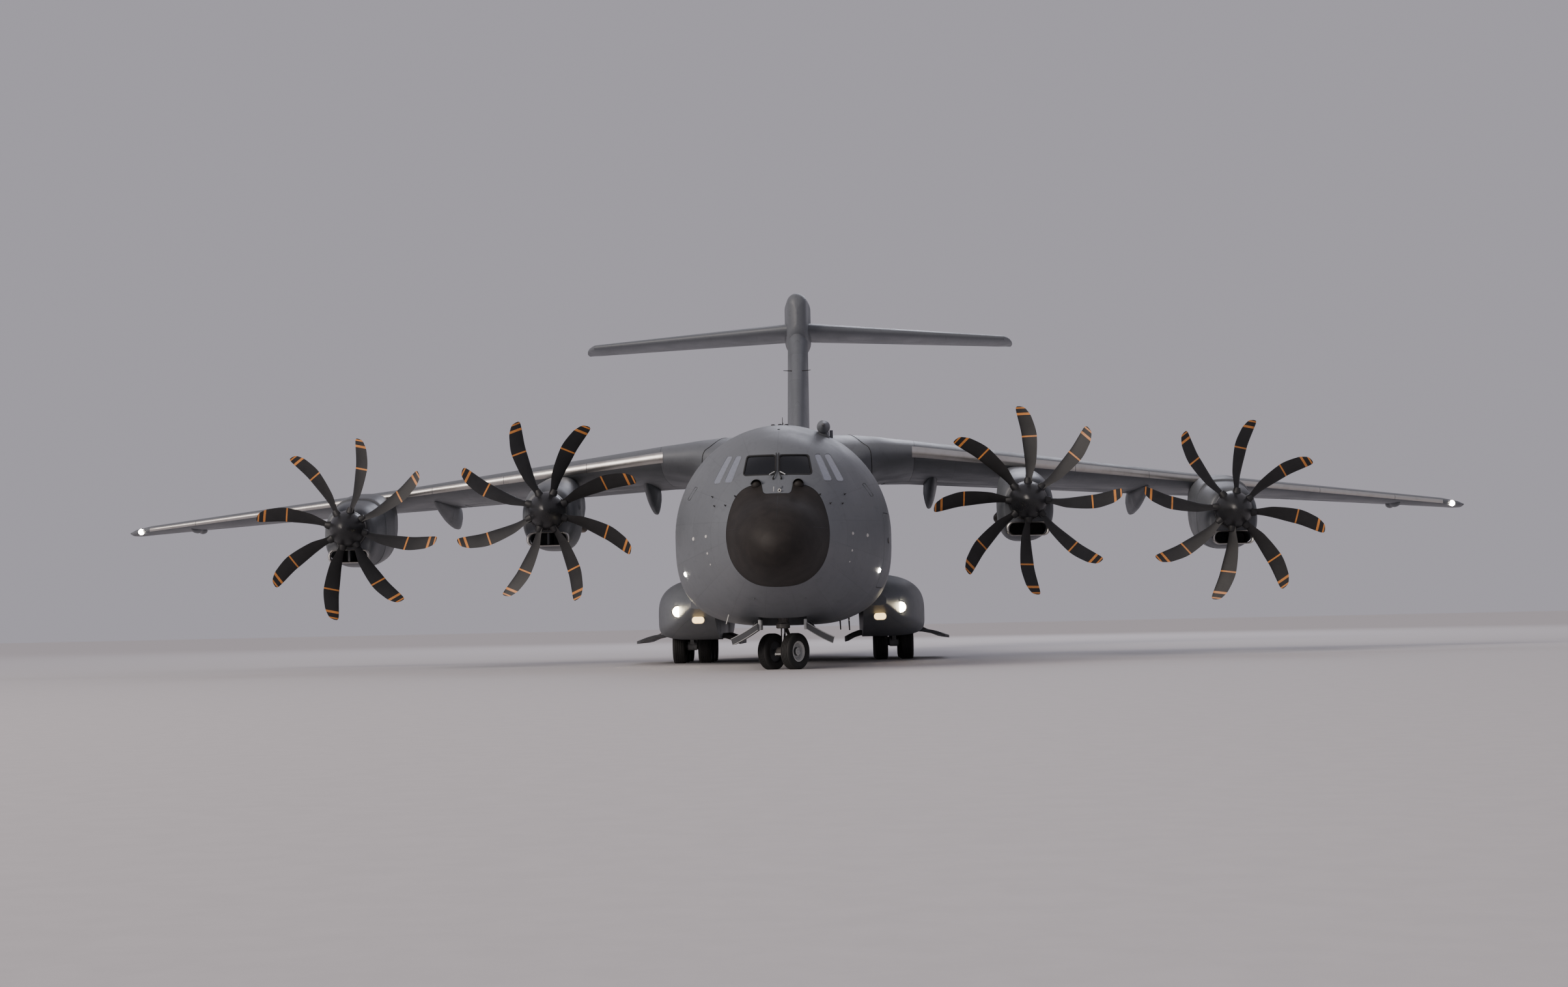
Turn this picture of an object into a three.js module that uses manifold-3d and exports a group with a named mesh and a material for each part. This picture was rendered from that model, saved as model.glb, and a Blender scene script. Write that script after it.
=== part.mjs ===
// A four-engined military transport plane standing on its landing gear, as a half-size model.
// The tables give the real plane's sizes in metres; K turns them into the model's millimetres.
// X points to the plane's port side, stations s run aft from the nose tip along Y, and Z is up.
import * as THREE from "three";
import { mergeVertices } from "three/addons/utils/BufferGeometryUtils.js";
import Module from "manifold-3d";

const wasm = await Module();
wasm.setup();

// Driving dimensions, in real metres
const K = 500; // model millimetres for one real metre, a scale of 1:2
const LENGTH = 45.1;
const WALL = 0.16; // the whole fuselage wall, frames and lining included
const TOUCH = 0.0006; // the gap between pieces that rest on each other
const CLEAR = 0.014; // the gap round a moving piece
const FLOOR_Z = 1.9;
const FACETS = 24; // points round a fuselage section

const group = new THREE.Group();
const airframe = new THREE.Group();
airframe.position.y = (-LENGTH / 2) * K;
group.add(airframe);
const hinges = {}; // each joint's pivot and the direction of its axis, in the airframe's frame
group.userData.hinges = hinges;

const paint = (color, roughness, metalness = 0) => new THREE.MeshStandardMaterial({ color, roughness, metalness });
const materials = {
  skin: paint(0x5f6468, 0.6),
  darkSkin: paint(0x45494d, 0.6),
  radome: paint(0x2a2827, 0.55),
  glass: paint(0x30353a, 0.1),
  deck: paint(0x3a3c3e, 0.8),
  blade: paint(0x222224, 0.5),
  rubber: paint(0x1b1b1c, 0.9),
  steel: paint(0xb9bbbd, 0.3, 0.9),
  gear: paint(0xc8cacb, 0.5, 0.2),
};

// Solids

const at = (x, s, z) => new THREE.Vector3(x * K, s * K, z * K);

function closedSolid(positions, triangles) {
  const vertProperties = new Float32Array(positions);
  return new wasm.Manifold(new wasm.Mesh({ numProp: 3, vertProperties, triVerts: new Uint32Array(triangles) }));
}

// A solid from a closed geometry, whichever way round its faces run.
function solidOf(geometry) {
  const bare = new THREE.BufferGeometry();
  bare.setAttribute("position", geometry.getAttribute("position"));
  if (geometry.index) bare.setIndex(geometry.index);
  const merged = mergeVertices(bare, 1e-3);
  const index = merged.index.array;
  const [kept, turned] = [[], []];
  for (let i = 0; i < index.length; i += 3) {
    const [a, b, c] = [index[i], index[i + 1], index[i + 2]];
    if (a === b || b === c || c === a) continue;
    kept.push(a, b, c);
    turned.push(a, c, b);
  }
  const made = closedSolid(merged.attributes.position.array, kept);
  return made.volume() > 0 ? made : closedSolid(merged.attributes.position.array, turned);
}

function geometryOf(solid) {
  const mesh = solid.getMesh();
  const geometry = new THREE.BufferGeometry();
  geometry.setAttribute("position", new THREE.BufferAttribute(new Float32Array(mesh.vertProperties), 3));
  geometry.setIndex(new THREE.BufferAttribute(new Uint32Array(mesh.triVerts), 1));
  geometry.computeVertexNormals();
  return geometry;
}

// The triangles of a flat end, wound the way its ring runs.
function capOf(ring) {
  const normal = new THREE.Vector3();
  ring.forEach((p, i) => normal.add(new THREE.Vector3().crossVectors(p, ring[(i + 1) % ring.length])));
  const size = normal.toArray().map(Math.abs);
  const drop = size.indexOf(Math.max(...size));
  const [u, v] = [0, 1, 2].filter((axis) => axis !== drop);
  const flat = ring.map((p) => new THREE.Vector2(p.toArray()[u], p.toArray()[v]));
  const ringSign = Math.sign(THREE.ShapeUtils.area(flat));
  return THREE.ShapeUtils.triangulateShape(flat, []).map(([a, b, c]) => {
    const sign = Math.sign(THREE.ShapeUtils.area([flat[a], flat[b], flat[c]]));
    return sign === ringSign ? [a, b, c] : [a, c, b];
  });
}

// A solid skinned over rings of points; a ring of one point is a pole.
function loft(rings) {
  const positions = [];
  const triangles = [];
  const starts = rings.map((ring) => {
    const start = positions.length / 3;
    ring.forEach((p) => positions.push(p.x, p.y, p.z));
    return start;
  });
  for (let r = 0; r + 1 < rings.length; r++) {
    const [a, b] = [rings[r], rings[r + 1]];
    const count = Math.max(a.length, b.length);
    for (let i = 0; i < count; i++) {
      const j = (i + 1) % count;
      const [a0, a1] = a.length === 1 ? [starts[r], starts[r]] : [starts[r] + i, starts[r] + j];
      const [b0, b1] = b.length === 1 ? [starts[r + 1], starts[r + 1]] : [starts[r + 1] + i, starts[r + 1] + j];
      if (a0 !== a1) triangles.push(a0, a1, b1);
      if (b0 !== b1) triangles.push(a0, b1, b0);
    }
  }
  const last = rings.length - 1;
  if (rings[0].length > 1) capOf(rings[0]).forEach(([a, b, c]) => triangles.push(a, c, b));
  if (rings[last].length > 1)
    capOf(rings[last]).forEach(([a, b, c]) => triangles.push(starts[last] + a, starts[last] + b, starts[last] + c));
  const geometry = new THREE.BufferGeometry();
  geometry.setAttribute("position", new THREE.Float32BufferAttribute(positions, 3));
  geometry.setIndex(triangles);
  return solidOf(geometry);
}

// A box between two corners, in a frame given by a matrix.
function box([x0, y0, z0], [x1, y1, z1], frame = new THREE.Matrix4()) {
  const geometry = new THREE.BoxGeometry((x1 - x0) * K, (y1 - y0) * K, (z1 - z0) * K);
  geometry.translate(((x0 + x1) / 2) * K, ((y0 + y1) / 2) * K, ((z0 + z1) / 2) * K);
  return solidOf(geometry.applyMatrix4(frame));
}

// A cylinder or cone between two points.
function rod(from, to, radius, endRadius = radius, sides = 12) {
  const along = new THREE.Vector3().subVectors(to, from);
  const geometry = new THREE.CylinderGeometry(endRadius * K, radius * K, along.length(), sides);
  geometry.translate(0, along.length() / 2, 0);
  const turn = new THREE.Quaternion().setFromUnitVectors(new THREE.Vector3(0, 1, 0), along.normalize());
  geometry.applyQuaternion(turn).translate(from.x, from.y, from.z);
  return solidOf(geometry);
}

// A solid of revolution about Y from [radius, y] pairs that start and end on the axis.
function turned(profile, sides) {
  return solidOf(new THREE.LatheGeometry(profile.map(([r, y]) => new THREE.Vector2(r * K, y * K)), sides));
}

// A plan outline of [x, s] pairs between two heights.
function planPrism(outline, low, high) {
  return loft([low, high].map((z) => outline.map(([x, s]) => at(x, s, z))));
}

// A side outline of [s, z] pairs between two x places.
function sidePrism(outline, left, right) {
  return loft([left, right].map((x) => outline.map(([s, z]) => at(x, s, z))));
}

const joined = (solids) => solids.reduce((all, one) => all.add(one));
const largest = (solid) => solid.decompose().reduce((a, b) => (a.volume() > b.volume() ? a : b));

function piece(name, solid, material, parent = airframe) {
  const mesh = new THREE.Mesh(geometryOf(largest(solid)), materials[material]);
  mesh.name = name;
  parent.add(mesh);
  return mesh;
}

// The same piece on the other side of the plane.
function mirrorPiece(name, solid, material) {
  const mesh = piece(name, solid, material);
  const index = mesh.geometry.index.array;
  mesh.geometry.scale(-1, 1, 1);
  for (let i = 0; i < index.length; i += 3) [index[i], index[i + 1]] = [index[i + 1], index[i]];
  mesh.geometry.computeVertexNormals();
  return mesh;
}

function pair(name, solid, material) {
  piece(`${name}_port`, solid, material);
  mirrorPiece(`${name}_starboard`, solid, material);
}

function hingeLine(name, from, to) {
  const axis = new THREE.Vector3().subVectors(to, from).normalize();
  hinges[name] = { pivot: new THREE.Vector3().addVectors(from, to).multiplyScalar(0.5), axis };
}

const across = (p) => new THREE.Vector3(-p.x, p.y, p.z);

// Hinge lines from the outer end inwards to port and outwards to starboard, so that a positive turn lowers the aft end
function pairHinge(name, inner, outer) {
  hingeLine(`${name}_port`, outer, inner);
  hingeLine(`${name}_starboard`, across(inner), across(outer));
}

// A moving and a fixed hinge knuckle that meet face to face at a point of the hinge line
function knuckles([moving, fixed], point, direction, radius, width) {
  const step = direction.clone().normalize();
  const along = (from, to, r) => {
    const [a, b] = [from, to].map((d) => point.clone().addScaledVector(step, d * K));
    return rod(a, b, r, r, 8);
  };
  return [
    moving.subtract(along(-TOUCH / 2, width + CLEAR, radius + CLEAR)).add(along(-width, -TOUCH / 2, radius)),
    fixed.subtract(along(-width - CLEAR, TOUCH / 2, radius + CLEAR)).add(along(TOUCH / 2, width, radius)),
  ];
}

// Fuselage sections

// Smooth values between a table's rows, whose first column is the place.
function blend(table, place) {
  const last = table.length - 1;
  if (place <= table[0][0]) return table[0].slice(1);
  if (place >= table[last][0]) return table[last].slice(1);
  const i = table.findIndex((row) => row[0] > place) - 1;
  const [a, b] = [table[i], table[i + 1]];
  const h = b[0] - a[0];
  const t = (place - a[0]) / h;
  const rise = (k, column) => (table[k + 1][column] - table[k][column]) / (table[k + 1][0] - table[k][0]);
  const slope = (k, column) => {
    if (k === 0) return rise(0, column);
    if (k === last) return rise(last - 1, column);
    const [before, after] = [rise(k - 1, column), rise(k, column)];
    return before * after <= 0 ? 0 : (2 * before * after) / (before + after);
  };
  return a.slice(1).map((value, n) => {
    const column = n + 1;
    const [m0, m1] = [slope(i, column) * h, slope(i + 1, column) * h];
    const [t2, t3] = [t * t, t * t * t];
    return (2 * t3 - 3 * t2 + 1) * value + (t3 - 2 * t2 + t) * m0 + (3 * t2 - 2 * t3) * b[column] + (t3 - t2) * m1;
  });
}

// Fuselage: station, top, bottom, half width, height of the widest point, power of the lower half
const HULL = [
  [0.0, 2.95, 2.95, 0.0, 2.95, 2.0],
  [0.1, 3.28, 2.66, 0.36, 2.97, 2.0],
  [0.35, 3.56, 2.42, 0.64, 3.0, 2.0],
  [0.9, 3.92, 2.17, 0.94, 3.08, 2.0],
  [1.7, 4.24, 1.96, 1.22, 3.18, 2.05],
  [2.3, 4.66, 1.75, 1.47, 3.24, 2.1],
  [3.0, 5.26, 1.54, 1.74, 3.3, 2.2],
  [4.0, 5.78, 1.33, 2.12, 3.36, 2.4],
  [5.2, 6.1, 1.16, 2.52, 3.4, 2.7],
  [6.4, 6.25, 1.1, 2.76, 3.42, 2.9],
  [7.4, 6.27, 1.09, 2.82, 3.42, 3.0],
  [25.6, 6.27, 1.09, 2.82, 3.42, 3.0],
  [28.0, 6.27, 1.42, 2.74, 3.6, 2.8],
  [31.5, 6.27, 2.3, 2.42, 4.1, 2.6],
  [35.0, 6.24, 3.28, 1.86, 4.7, 2.4],
  [38.5, 6.15, 4.2, 1.14, 5.2, 2.1],
  [41.0, 6.0, 4.86, 0.5, 5.45, 2.0],
  [41.9, 5.75, 5.15, 0.2, 5.45, 2.0],
];

function hullRing(s, inset = 0) {
  const [top, bottom, half, widest, power] = blend(HULL, s);
  const ring = [];
  for (let i = 0; i < FACETS; i++) {
    const angle = (i / FACETS) * 2 * Math.PI;
    const [c, n] = [Math.cos(angle), Math.sin(angle)];
    const p = n >= 0 ? 2 : power;
    const x = Math.sign(c) * Math.abs(c) ** (2 / p) * (half - inset);
    const reach = n >= 0 ? top - inset - widest : widest - bottom - inset;
    ring.push(at(x, s, widest + Math.sign(n) * Math.abs(n) ** (2 / p) * reach));
  }
  return ring;
}

const hull = (stations, inset = 0) => loft(stations.map((s) => (s === 0 ? [at(0, 0, HULL[0][1])] : hullRing(s, inset))));

// Half the fuselage's width at a station and height.
function halfWidth(s, z) {
  const [top, bottom, half, widest, power] = blend(HULL, s);
  const p = z >= widest ? 2 : power;
  const reach = z >= widest ? top - widest : widest - bottom;
  return half * Math.max(0, 1 - (Math.abs(z - widest) / reach) ** p) ** (1 / p);
}

// The station at which the nose has the front-view point (x, z) on its skin.
function skinStation(x, z) {
  let [near, far] = [0.2, 7];
  for (let k = 0; k < 40; k++) {
    const middle = (near + far) / 2;
    if (halfWidth(middle, z) < x) near = middle;
    else far = middle;
  }
  return (near + far) / 2;
}

// Nose

const NOSE_END = 7.0;
const RADOME_STATIONS = [0, 0.1, 0.35, 0.9, 1.7, 2.3];
const NOSE_STATIONS = [0.9, 1.7, 2.3, 3.0, 4.0, 5.2, 6.2, NOSE_END - TOUCH];
const CABIN_STATIONS = [2.2, 3.0, 4.0, 5.2, 6.2, NOSE_END + 0.2];
const SEAM = { station: 1.5, low: 1.96, lean: 0.19 }; // the radome's rear edge leans aft as it rises
const NOTCH = { half: 0.365, front: 1.66, low: 3.8 }; // a tongue of the nose between the sensors
const SENSORS = { x: 0.51, front: 1.86, back: 2.5, z: 4.44, radius: 0.14 };
const NOSE_BAY = { half: 0.6, front: 3.9, back: 6.3, top: 1.8 };
// The crew door, on the port side, whose hinge line lies a little outside the skin
const DOOR = { front: 5.55, back: 6.5, bottom: 2.0, top: 3.9, hingeOut: 0.02, knuckle: 0.06 };
const DOOR_SILL = [DOOR.front, DOOR.back].map((s) => at(halfWidth(s, DOOR.bottom) + DOOR.hingeOut, s, DOOR.bottom));
const WINDOW_WALL = 0.06;

// The two round sensor housings at the radome's upper edge
function sensorHousings(gap) {
  const { x, front, back, z, radius } = SENSORS;
  return joined([-x, x].map((side) => rod(at(side, front - gap, z), at(side, back, z), radius + gap)));
}

// Everything ahead of the radome's rear edge, less the tongue and the sensors
function radomeZone(gap) {
  const seam = (z) => [SEAM.station + (z - SEAM.low) * SEAM.lean - gap, z];
  const ahead = sidePrism([[-1, 0], seam(0), seam(8), [-1, 8]], -3, 3);
  const tongue = box([-NOTCH.half - gap, NOTCH.front - gap, NOTCH.low], [NOTCH.half + gap, 4, 8]);
  return ahead.subtract(tongue).subtract(sensorHousings(gap));
}

// The doorway, with its front and back square to the door's hinge line
function doorway(gap) {
  const along = new THREE.Vector3().subVectors(DOOR_SILL[1], DOOR_SILL[0]);
  const length = along.length() / K;
  const up = new THREE.Vector3(0, 0, 1);
  const out = along.normalize().clone().cross(up);
  const frame = new THREE.Matrix4().makeBasis(out, along, up).setPosition(DOOR_SILL[0]);
  return box([-1, gap, gap], [1, length - gap, DOOR.top - DOOR.bottom - gap], frame);
}

// Cockpit windows: front-view corners (x, z), from the inner top corner round to the inner bottom one
const WINDOWS = [
  [[0.05, 5.22], [0.77, 5.22], [0.86, 4.72], [0.05, 4.72]],
  [[0.9, 5.24], [1.03, 5.27], [1.35, 4.62], [1.1, 4.6]],
  [[1.11, 5.27], [1.28, 5.31], [1.66, 4.64], [1.43, 4.61]],
];

// A prism through the skin at a window's four corners.
function windowPrism(corners, side) {
  const outer = corners.map(([x, z]) => at(side * x, skinStation(x, z), z));
  const [d1, d2] = [0, 1].map((i) => new THREE.Vector3().subVectors(outer[i + 2], outer[i]));
  const normal = new THREE.Vector3().crossVectors(d1, d2).setLength(2 * WALL * K);
  return loft([outer.map((p) => p.clone().add(normal)), outer.map((p) => p.clone().sub(normal))]);
}

function nose() {
  piece("radome", hull(RADOME_STATIONS).intersect(radomeZone(TOUCH)), "radome");
  const outer = hull(NOSE_STATIONS);
  const inner = hull(CABIN_STATIONS, WALL);
  const windowZone = box([-3, 2.1, 4.4], [3, 4.5, 5.5]);
  let shell = outer.subtract(radomeZone(0)).add(sensorHousings(0));
  shell = shell.subtract(inner.intersect(box([-4, 0, FLOOR_Z], [4, 9, 8])));
  shell = shell.subtract(hull(CABIN_STATIONS, WINDOW_WALL).intersect(windowZone));
  shell = shell.subtract(box([-NOSE_BAY.half, NOSE_BAY.front, 0], [NOSE_BAY.half, NOSE_BAY.back, NOSE_BAY.top]));
  shell = shell.subtract(doorway(0));
  for (const side of [-1, 1])
    for (const corners of WINDOWS) shell = shell.subtract(windowPrism(corners, side));

  const behindGlass = hull([2.1, ...CABIN_STATIONS.slice(1)], WINDOW_WALL + 0.04);
  const glass = hull(CABIN_STATIONS, WINDOW_WALL + TOUCH).subtract(behindGlass);
  piece("cockpit_glazing", glass.intersect(box([-3, 2.22, 4.5], [3, 4.4, 5.42])), "glass");

  let leaf = outer.subtract(inner).intersect(doorway(CLEAR));
  const hingeEnds = [0.23, 0.77].map((part) => DOOR_SILL[0].clone().lerp(DOOR_SILL[1], part));
  const along = new THREE.Vector3().subVectors(hingeEnds[1], hingeEnds[0]);
  for (const [i, way] of [[0, -1], [1, 1]])
    [leaf, shell] = knuckles([leaf, shell], hingeEnds[i], along.clone().multiplyScalar(way), DOOR.knuckle, 0.09);
  piece("nose_fuselage", shell, "skin");
  piece("crew_door", leaf, "skin");
  hingeLine("crew_door", ...hingeEnds);

  // Flight deck furniture: x, s and z from and to
  const furniture = [
    [-3, 2.6, 3.6, 3, 5.25, 3.72], // floor
    [-3, 2.5, 3.6, 3, 3.0, 4.38], // instrument panel
    [-0.3, 2.9, 3.6, 0.3, 4.1, 4.1], // centre console
    [-1.0, 3.75, 3.6, -0.45, 4.3, 4.15], // seats
    [-1.0, 4.2, 3.6, -0.45, 4.35, 4.9],
    [0.45, 3.75, 3.6, 1.0, 4.3, 4.15],
    [0.45, 4.2, 3.6, 1.0, 4.35, 4.9],
    [-3, 5.13, 2.6, 3, 5.25, 5.2], // bulkhead
  ];
  const blocks = furniture.map(([x0, s0, z0, x1, s1, z1]) => box([x0, s0, z0], [x1, s1, z1]));
  const fit = hull(CABIN_STATIONS, WALL + TOUCH);
  const passage = box([-0.35, 5.0, 3.73], [0.35, 5.4, 5.6]);
  piece("flight_deck", joined(blocks).intersect(fit).subtract(passage), "deck");
}

// Barrel, whose four panels meet at the floor and at the crown's edges

const BARREL_END = 25.6;
const CROWN_Z = 5.35;
const BOARDS = 0.04; // the cargo deck's boards, between the side panels

function barrel() {
  const stations = [NOSE_END, BARREL_END - TOUCH];
  const hollow = [NOSE_END - 0.5, BARREL_END + 0.5];
  const shell = hull(stations).subtract(hull(hollow, WALL));
  const zone = (x0, z0, x1, z1) => box([x0, 0, z0], [x1, 50, z1]);
  piece("barrel_crown", shell.intersect(zone(-4, CROWN_Z + TOUCH, 4, 9)), "skin");
  piece("barrel_side_port", shell.intersect(zone(0, FLOOR_Z + TOUCH, 4, CROWN_Z)), "skin");
  piece("barrel_side_starboard", shell.intersect(zone(-4, FLOOR_Z + TOUCH, 0, CROWN_Z)), "skin");
  const boards = hull(hollow, WALL + TOUCH).intersect(zone(-4, 0, 4, FLOOR_Z + BOARDS));
  const lobe = zone(-4, 0, 4, FLOOR_Z).add(boards);
  piece("cargo_floor", hull(stations).intersect(lobe), "deck");
}

// Tail fuselage with its cargo ramp and upper cargo door

const TAIL_STATIONS = [BARREL_END, 28, 31.5, 35, 38.5, 41, 41.9];
const RAMP = { half: 1.9, front: 25.75, middle: 28, back: 30.2, depth: 0.42 };
const UPPER_DOOR = { half: 1.68, middle: 32, back: 33.6, depth: 0.3 };
const LEAF_HINGE = 0.07; // the hinge lines' height over the skin
const LEAF_LEAN = 0.55; // the lean of the edge between ramp and door
const TAIL_WALL = 0.12;
const TAIL_HOLLOW = [BARREL_END - 0.5, 28, 31.5, 35, 38.5, 40.6];

function tail() {
  const outer = hull(TAIL_STATIONS);
  const inner = hull(TAIL_HOLLOW, TAIL_WALL);
  const wide = RAMP.half + CLEAR;
  const narrow = UPPER_DOOR.half + CLEAR;
  let shell = outer.subtract(inner);
  shell = shell.subtract(box([-wide, RAMP.front - CLEAR, 0], [wide, RAMP.back + CLEAR, 3]));
  shell = shell.subtract(box([-narrow, RAMP.back - 0.1, 0], [narrow, UPPER_DOOR.back + CLEAR, 4.6]));

  // Side outlines of ramp and door; the edge between them leans forward, so that each swings clear of the other
  const skin = (s, height) => [s, blend(HULL, s)[1] + height];
  const edge = (gap, height) => [RAMP.back + gap - height * LEAF_LEAN, skin(RAMP.back, height)[1]];
  const rampSide = [
    skin(RAMP.front + LEAF_HINGE, -1),
    skin(RAMP.front + LEAF_HINGE, LEAF_HINGE / 2),
    skin(RAMP.front, LEAF_HINGE),
    skin(RAMP.front, RAMP.depth),
    skin(RAMP.middle, RAMP.depth),
    edge(-CLEAR, RAMP.depth),
    edge(-CLEAR, -1),
  ];
  const doorSide = [
    edge(CLEAR, -1),
    edge(CLEAR, UPPER_DOOR.depth),
    skin(UPPER_DOOR.middle, UPPER_DOOR.depth),
    skin(UPPER_DOOR.back - UPPER_DOOR.depth, UPPER_DOOR.depth),
    skin(UPPER_DOOR.back, LEAF_HINGE),
    skin(UPPER_DOOR.back, -1),
  ];
  let ramp = outer.intersect(sidePrism(rampSide, -RAMP.half, RAMP.half));
  let door = outer.intersect(sidePrism(doorSide, -UPPER_DOOR.half, UPPER_DOOR.half));
  const rampHinge = (x) => at(x, ...skin(RAMP.front, LEAF_HINGE));
  const doorHinge = (x) => at(x, ...skin(UPPER_DOOR.back, LEAF_HINGE));
  for (const side of [-1, 1]) {
    const out = new THREE.Vector3(side, 0, 0);
    [ramp, shell] = knuckles([ramp, shell], rampHinge(side * 0.8), out, 0.06, 0.2);
    [door, shell] = knuckles([door, shell], doorHinge(side * 0.6), out, 0.05, 0.2);
  }
  piece("tail_fuselage", shell, "skin");
  piece("cargo_ramp", ramp, "skin");
  piece("cargo_door", door, "skin");
  hingeLine("cargo_ramp", rampHinge(1), rampHinge(-1));
  hingeLine("cargo_door", doorHinge(1), doorHinge(-1));
}

// Wings

const CHORD_STEPS = [0, 0.02, 0.09, 0.27, 0.5, 0.76, 1];

// Half the thickness of a wing section of thickness 1 at a part of its chord.
const sectionHalf = (u) => 5 * (0.2969 * Math.sqrt(u) - 0.126 * u - 0.3516 * u ** 2 + 0.2843 * u ** 3 - 0.1036 * u ** 4);

// A surface point: row holds leading and trailing edge stations and heights, thickness and camber.
function chordPoint([sLead, sTrail, zLead, zTrail, thick, camber], u, side) {
  const middle = zLead + (zTrail - zLead) * u + camber * 4 * u * (1 - u);
  return [sLead + (sTrail - sLead) * u, middle + side * (thick * sectionHalf(u) + 0.012)];
}

function sectionRing(row, place, grow) {
  const upper = CHORD_STEPS.map((u) => chordPoint(row, u, 1)).reverse();
  const lower = CHORD_STEPS.map((u) => chordPoint(row, u, -1));
  const grown = [...upper.map(([s, z]) => [s, z + grow]), ...lower.map(([s, z]) => [s, z - grow])];
  return grown.map(([s, z], i) => place(i === 6 || i === 7 ? s - grow : s, z));
}

// Wing: x, leading and trailing edge stations, their heights, thickness, camber
const WING = [
  [2.2, 13.45, 21.0, 6.12, 5.65, 1.03, 0.12],
  [3.73, 14.1, 20.95, 6.11, 5.58, 0.96, 0.12],
  [12.0, 16.7, 20.6, 5.32, 5.03, 0.47, 0.07],
  [20.6, 19.4, 21.95, 4.62, 4.53, 0.2, 0.03],
  [21.2, 19.95, 21.95, 4.57, 4.51, 0.12, 0.01],
];

const wingRow = (x) => {
  const i = Math.max(1, WING.findIndex((row) => row[0] >= x));
  const [a, b] = [WING[i - 1], WING[i]];
  const t = (x - a[0]) / (b[0] - a[0]);
  return a.map((value, n) => value + (b[n] - value) * t).slice(1);
};

const wingSolid = (grow = 0) =>
  loft(WING.map(([x, ...row]) => sectionRing(row, (s, z) => at(x, s, z), grow)));

// The middle of the wing section at a part of its chord, and half its thickness there
function wingCore(x, u) {
  const [[s, high], [, low]] = [1, -1].map((side) => chordPoint(wingRow(x), u, side));
  return { s, z: (high + low) / 2, half: (high - low) / 2 };
}

const FLAP_CHORD = 0.72;
const AILERON_CHORD = 0.74;
const END_GAP = 0.04;
const PIN_GAP = 0.03; // between the ends of a control surface and what carries it

// Flaps: name, inner x, outer x, fairings' x places, depth of the hinge under the section's middle
const FLAPS = [
  ["flap_inner", 3.0, 10.4, [4.4, 8.95], 1.0],
  ["flap_outer", 10.75, 15.9, [11.12], 0.82],
];
const AILERON = { inner: 16.1, outer: 20.5 };

function hingedPlan(inner, outer, chord, gap) {
  const front = [inner, outer].map((x) => wingCore(x, chord).s - gap);
  return [[inner, front[0]], [outer, front[1]], [outer, 23], [inner, 23]];
}

// The block of space aft of a flap's front face, with its ends square to the hinge line
function flapZone([from, to], endGap, frontGap) {
  const along = new THREE.Vector3().subVectors(to, from);
  const span = along.length() / K;
  const out = along.normalize();
  const aft = new THREE.Vector3(0, 0, 1).cross(out).normalize();
  const frame = new THREE.Matrix4().makeBasis(out, aft, new THREE.Vector3().crossVectors(out, aft)).setPosition(from);
  return box([-endGap, -frontGap, -3], [span + endGap, 4, 3], frame);
}

// A streamlined pod under the wing that houses a flap hinge at its lower edge
function fairing(hinge, depth) {
  const [x, s, z] = hinge.toArray().map((v) => v / K);
  const rows = [ // station from the hinge, half width, top and bottom from the section's middle
    [-2.1, 0.03, -0.2, -0.32],
    [-1.4, 0.13, -0.1, -0.62],
    [-0.5, 0.17, 0, -0.95],
    [0.5, 0.17, 0, -1],
    [1.5, 0.11, 0, -0.72],
    [2.3, 0.03, -0.25, -0.4],
  ];
  return loft(
    rows.map(([ds, half, top, bottom]) =>
      [[1, 0.4], [0.5, 1], [-0.5, 1], [-1, 0.4], [-1, -0.35], [-0.45, -1], [0.45, -1], [1, -0.35]].map(([px, pz]) => {
        const [high, low] = [z + (top + 1) * depth, z + (bottom + 1) * depth];
        return at(x + px * half, s + ds, (high + low) / 2 + (pz * (high - low)) / 2);
      }),
    ),
  );
}

function wings() {
  const whole = wingSolid();
  let fixed = whole;
  for (const [name, inner, outer, fairings, depth] of FLAPS) {
    const front = [inner, outer].map((x) => {
      const core = wingCore(x, FLAP_CHORD);
      return at(x, core.s, core.z);
    });
    const hinge = (x) => front[0].clone().lerp(front[1], (x - inner) / (outer - inner)).sub(at(0, 0, depth));
    const pods = fairings.map((x) => fairing(hinge(x), depth));
    const keep = flapZone(front, 0, 0);
    fixed = joined([fixed, ...pods]).subtract(flapZone(front, END_GAP, CLEAR));
    let flap = joined([whole.intersect(keep), ...pods.map((pod) => pod.intersect(keep))]);
    const along = new THREE.Vector3().subVectors(hinge(outer), hinge(inner));
    for (const x of fairings) [flap, fixed] = knuckles([flap, fixed], hinge(x), along, 0.07, 0.1);
    pair(name, flap, "skin");
    pairHinge(name, hinge(inner), hinge(outer));
  }
  const [a, b] = [AILERON.inner, AILERON.outer].map((x) => wingCore(x, AILERON_CHORD));
  const ends = [at(AILERON.inner, a.s, a.z), at(AILERON.outer, b.s, b.z)];
  const cut = planPrism(hingedPlan(AILERON.inner - PIN_GAP, AILERON.outer + PIN_GAP, AILERON_CHORD, 0), 0, 9);
  const strip = [[AILERON.inner, 15], [AILERON.outer, 15], [AILERON.outer, 23], [AILERON.inner, 23]];
  const keep = planPrism(hingedPlan(AILERON.inner, AILERON.outer, AILERON_CHORD, 0), 0, 9);
  const nose = rod(ends[0], ends[1], a.half, b.half).intersect(planPrism(strip, 0, 9));
  fixed = fixed.subtract(cut).subtract(coveRod(ends, [a.half, b.half]));
  const [aileron, carrier] = endPins([whole.intersect(keep).add(nose), fixed], ends);
  pair("aileron", aileron, "skin");
  pairHinge("aileron", ...ends);
  pair("wing", carrier, "skin");
}

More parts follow.
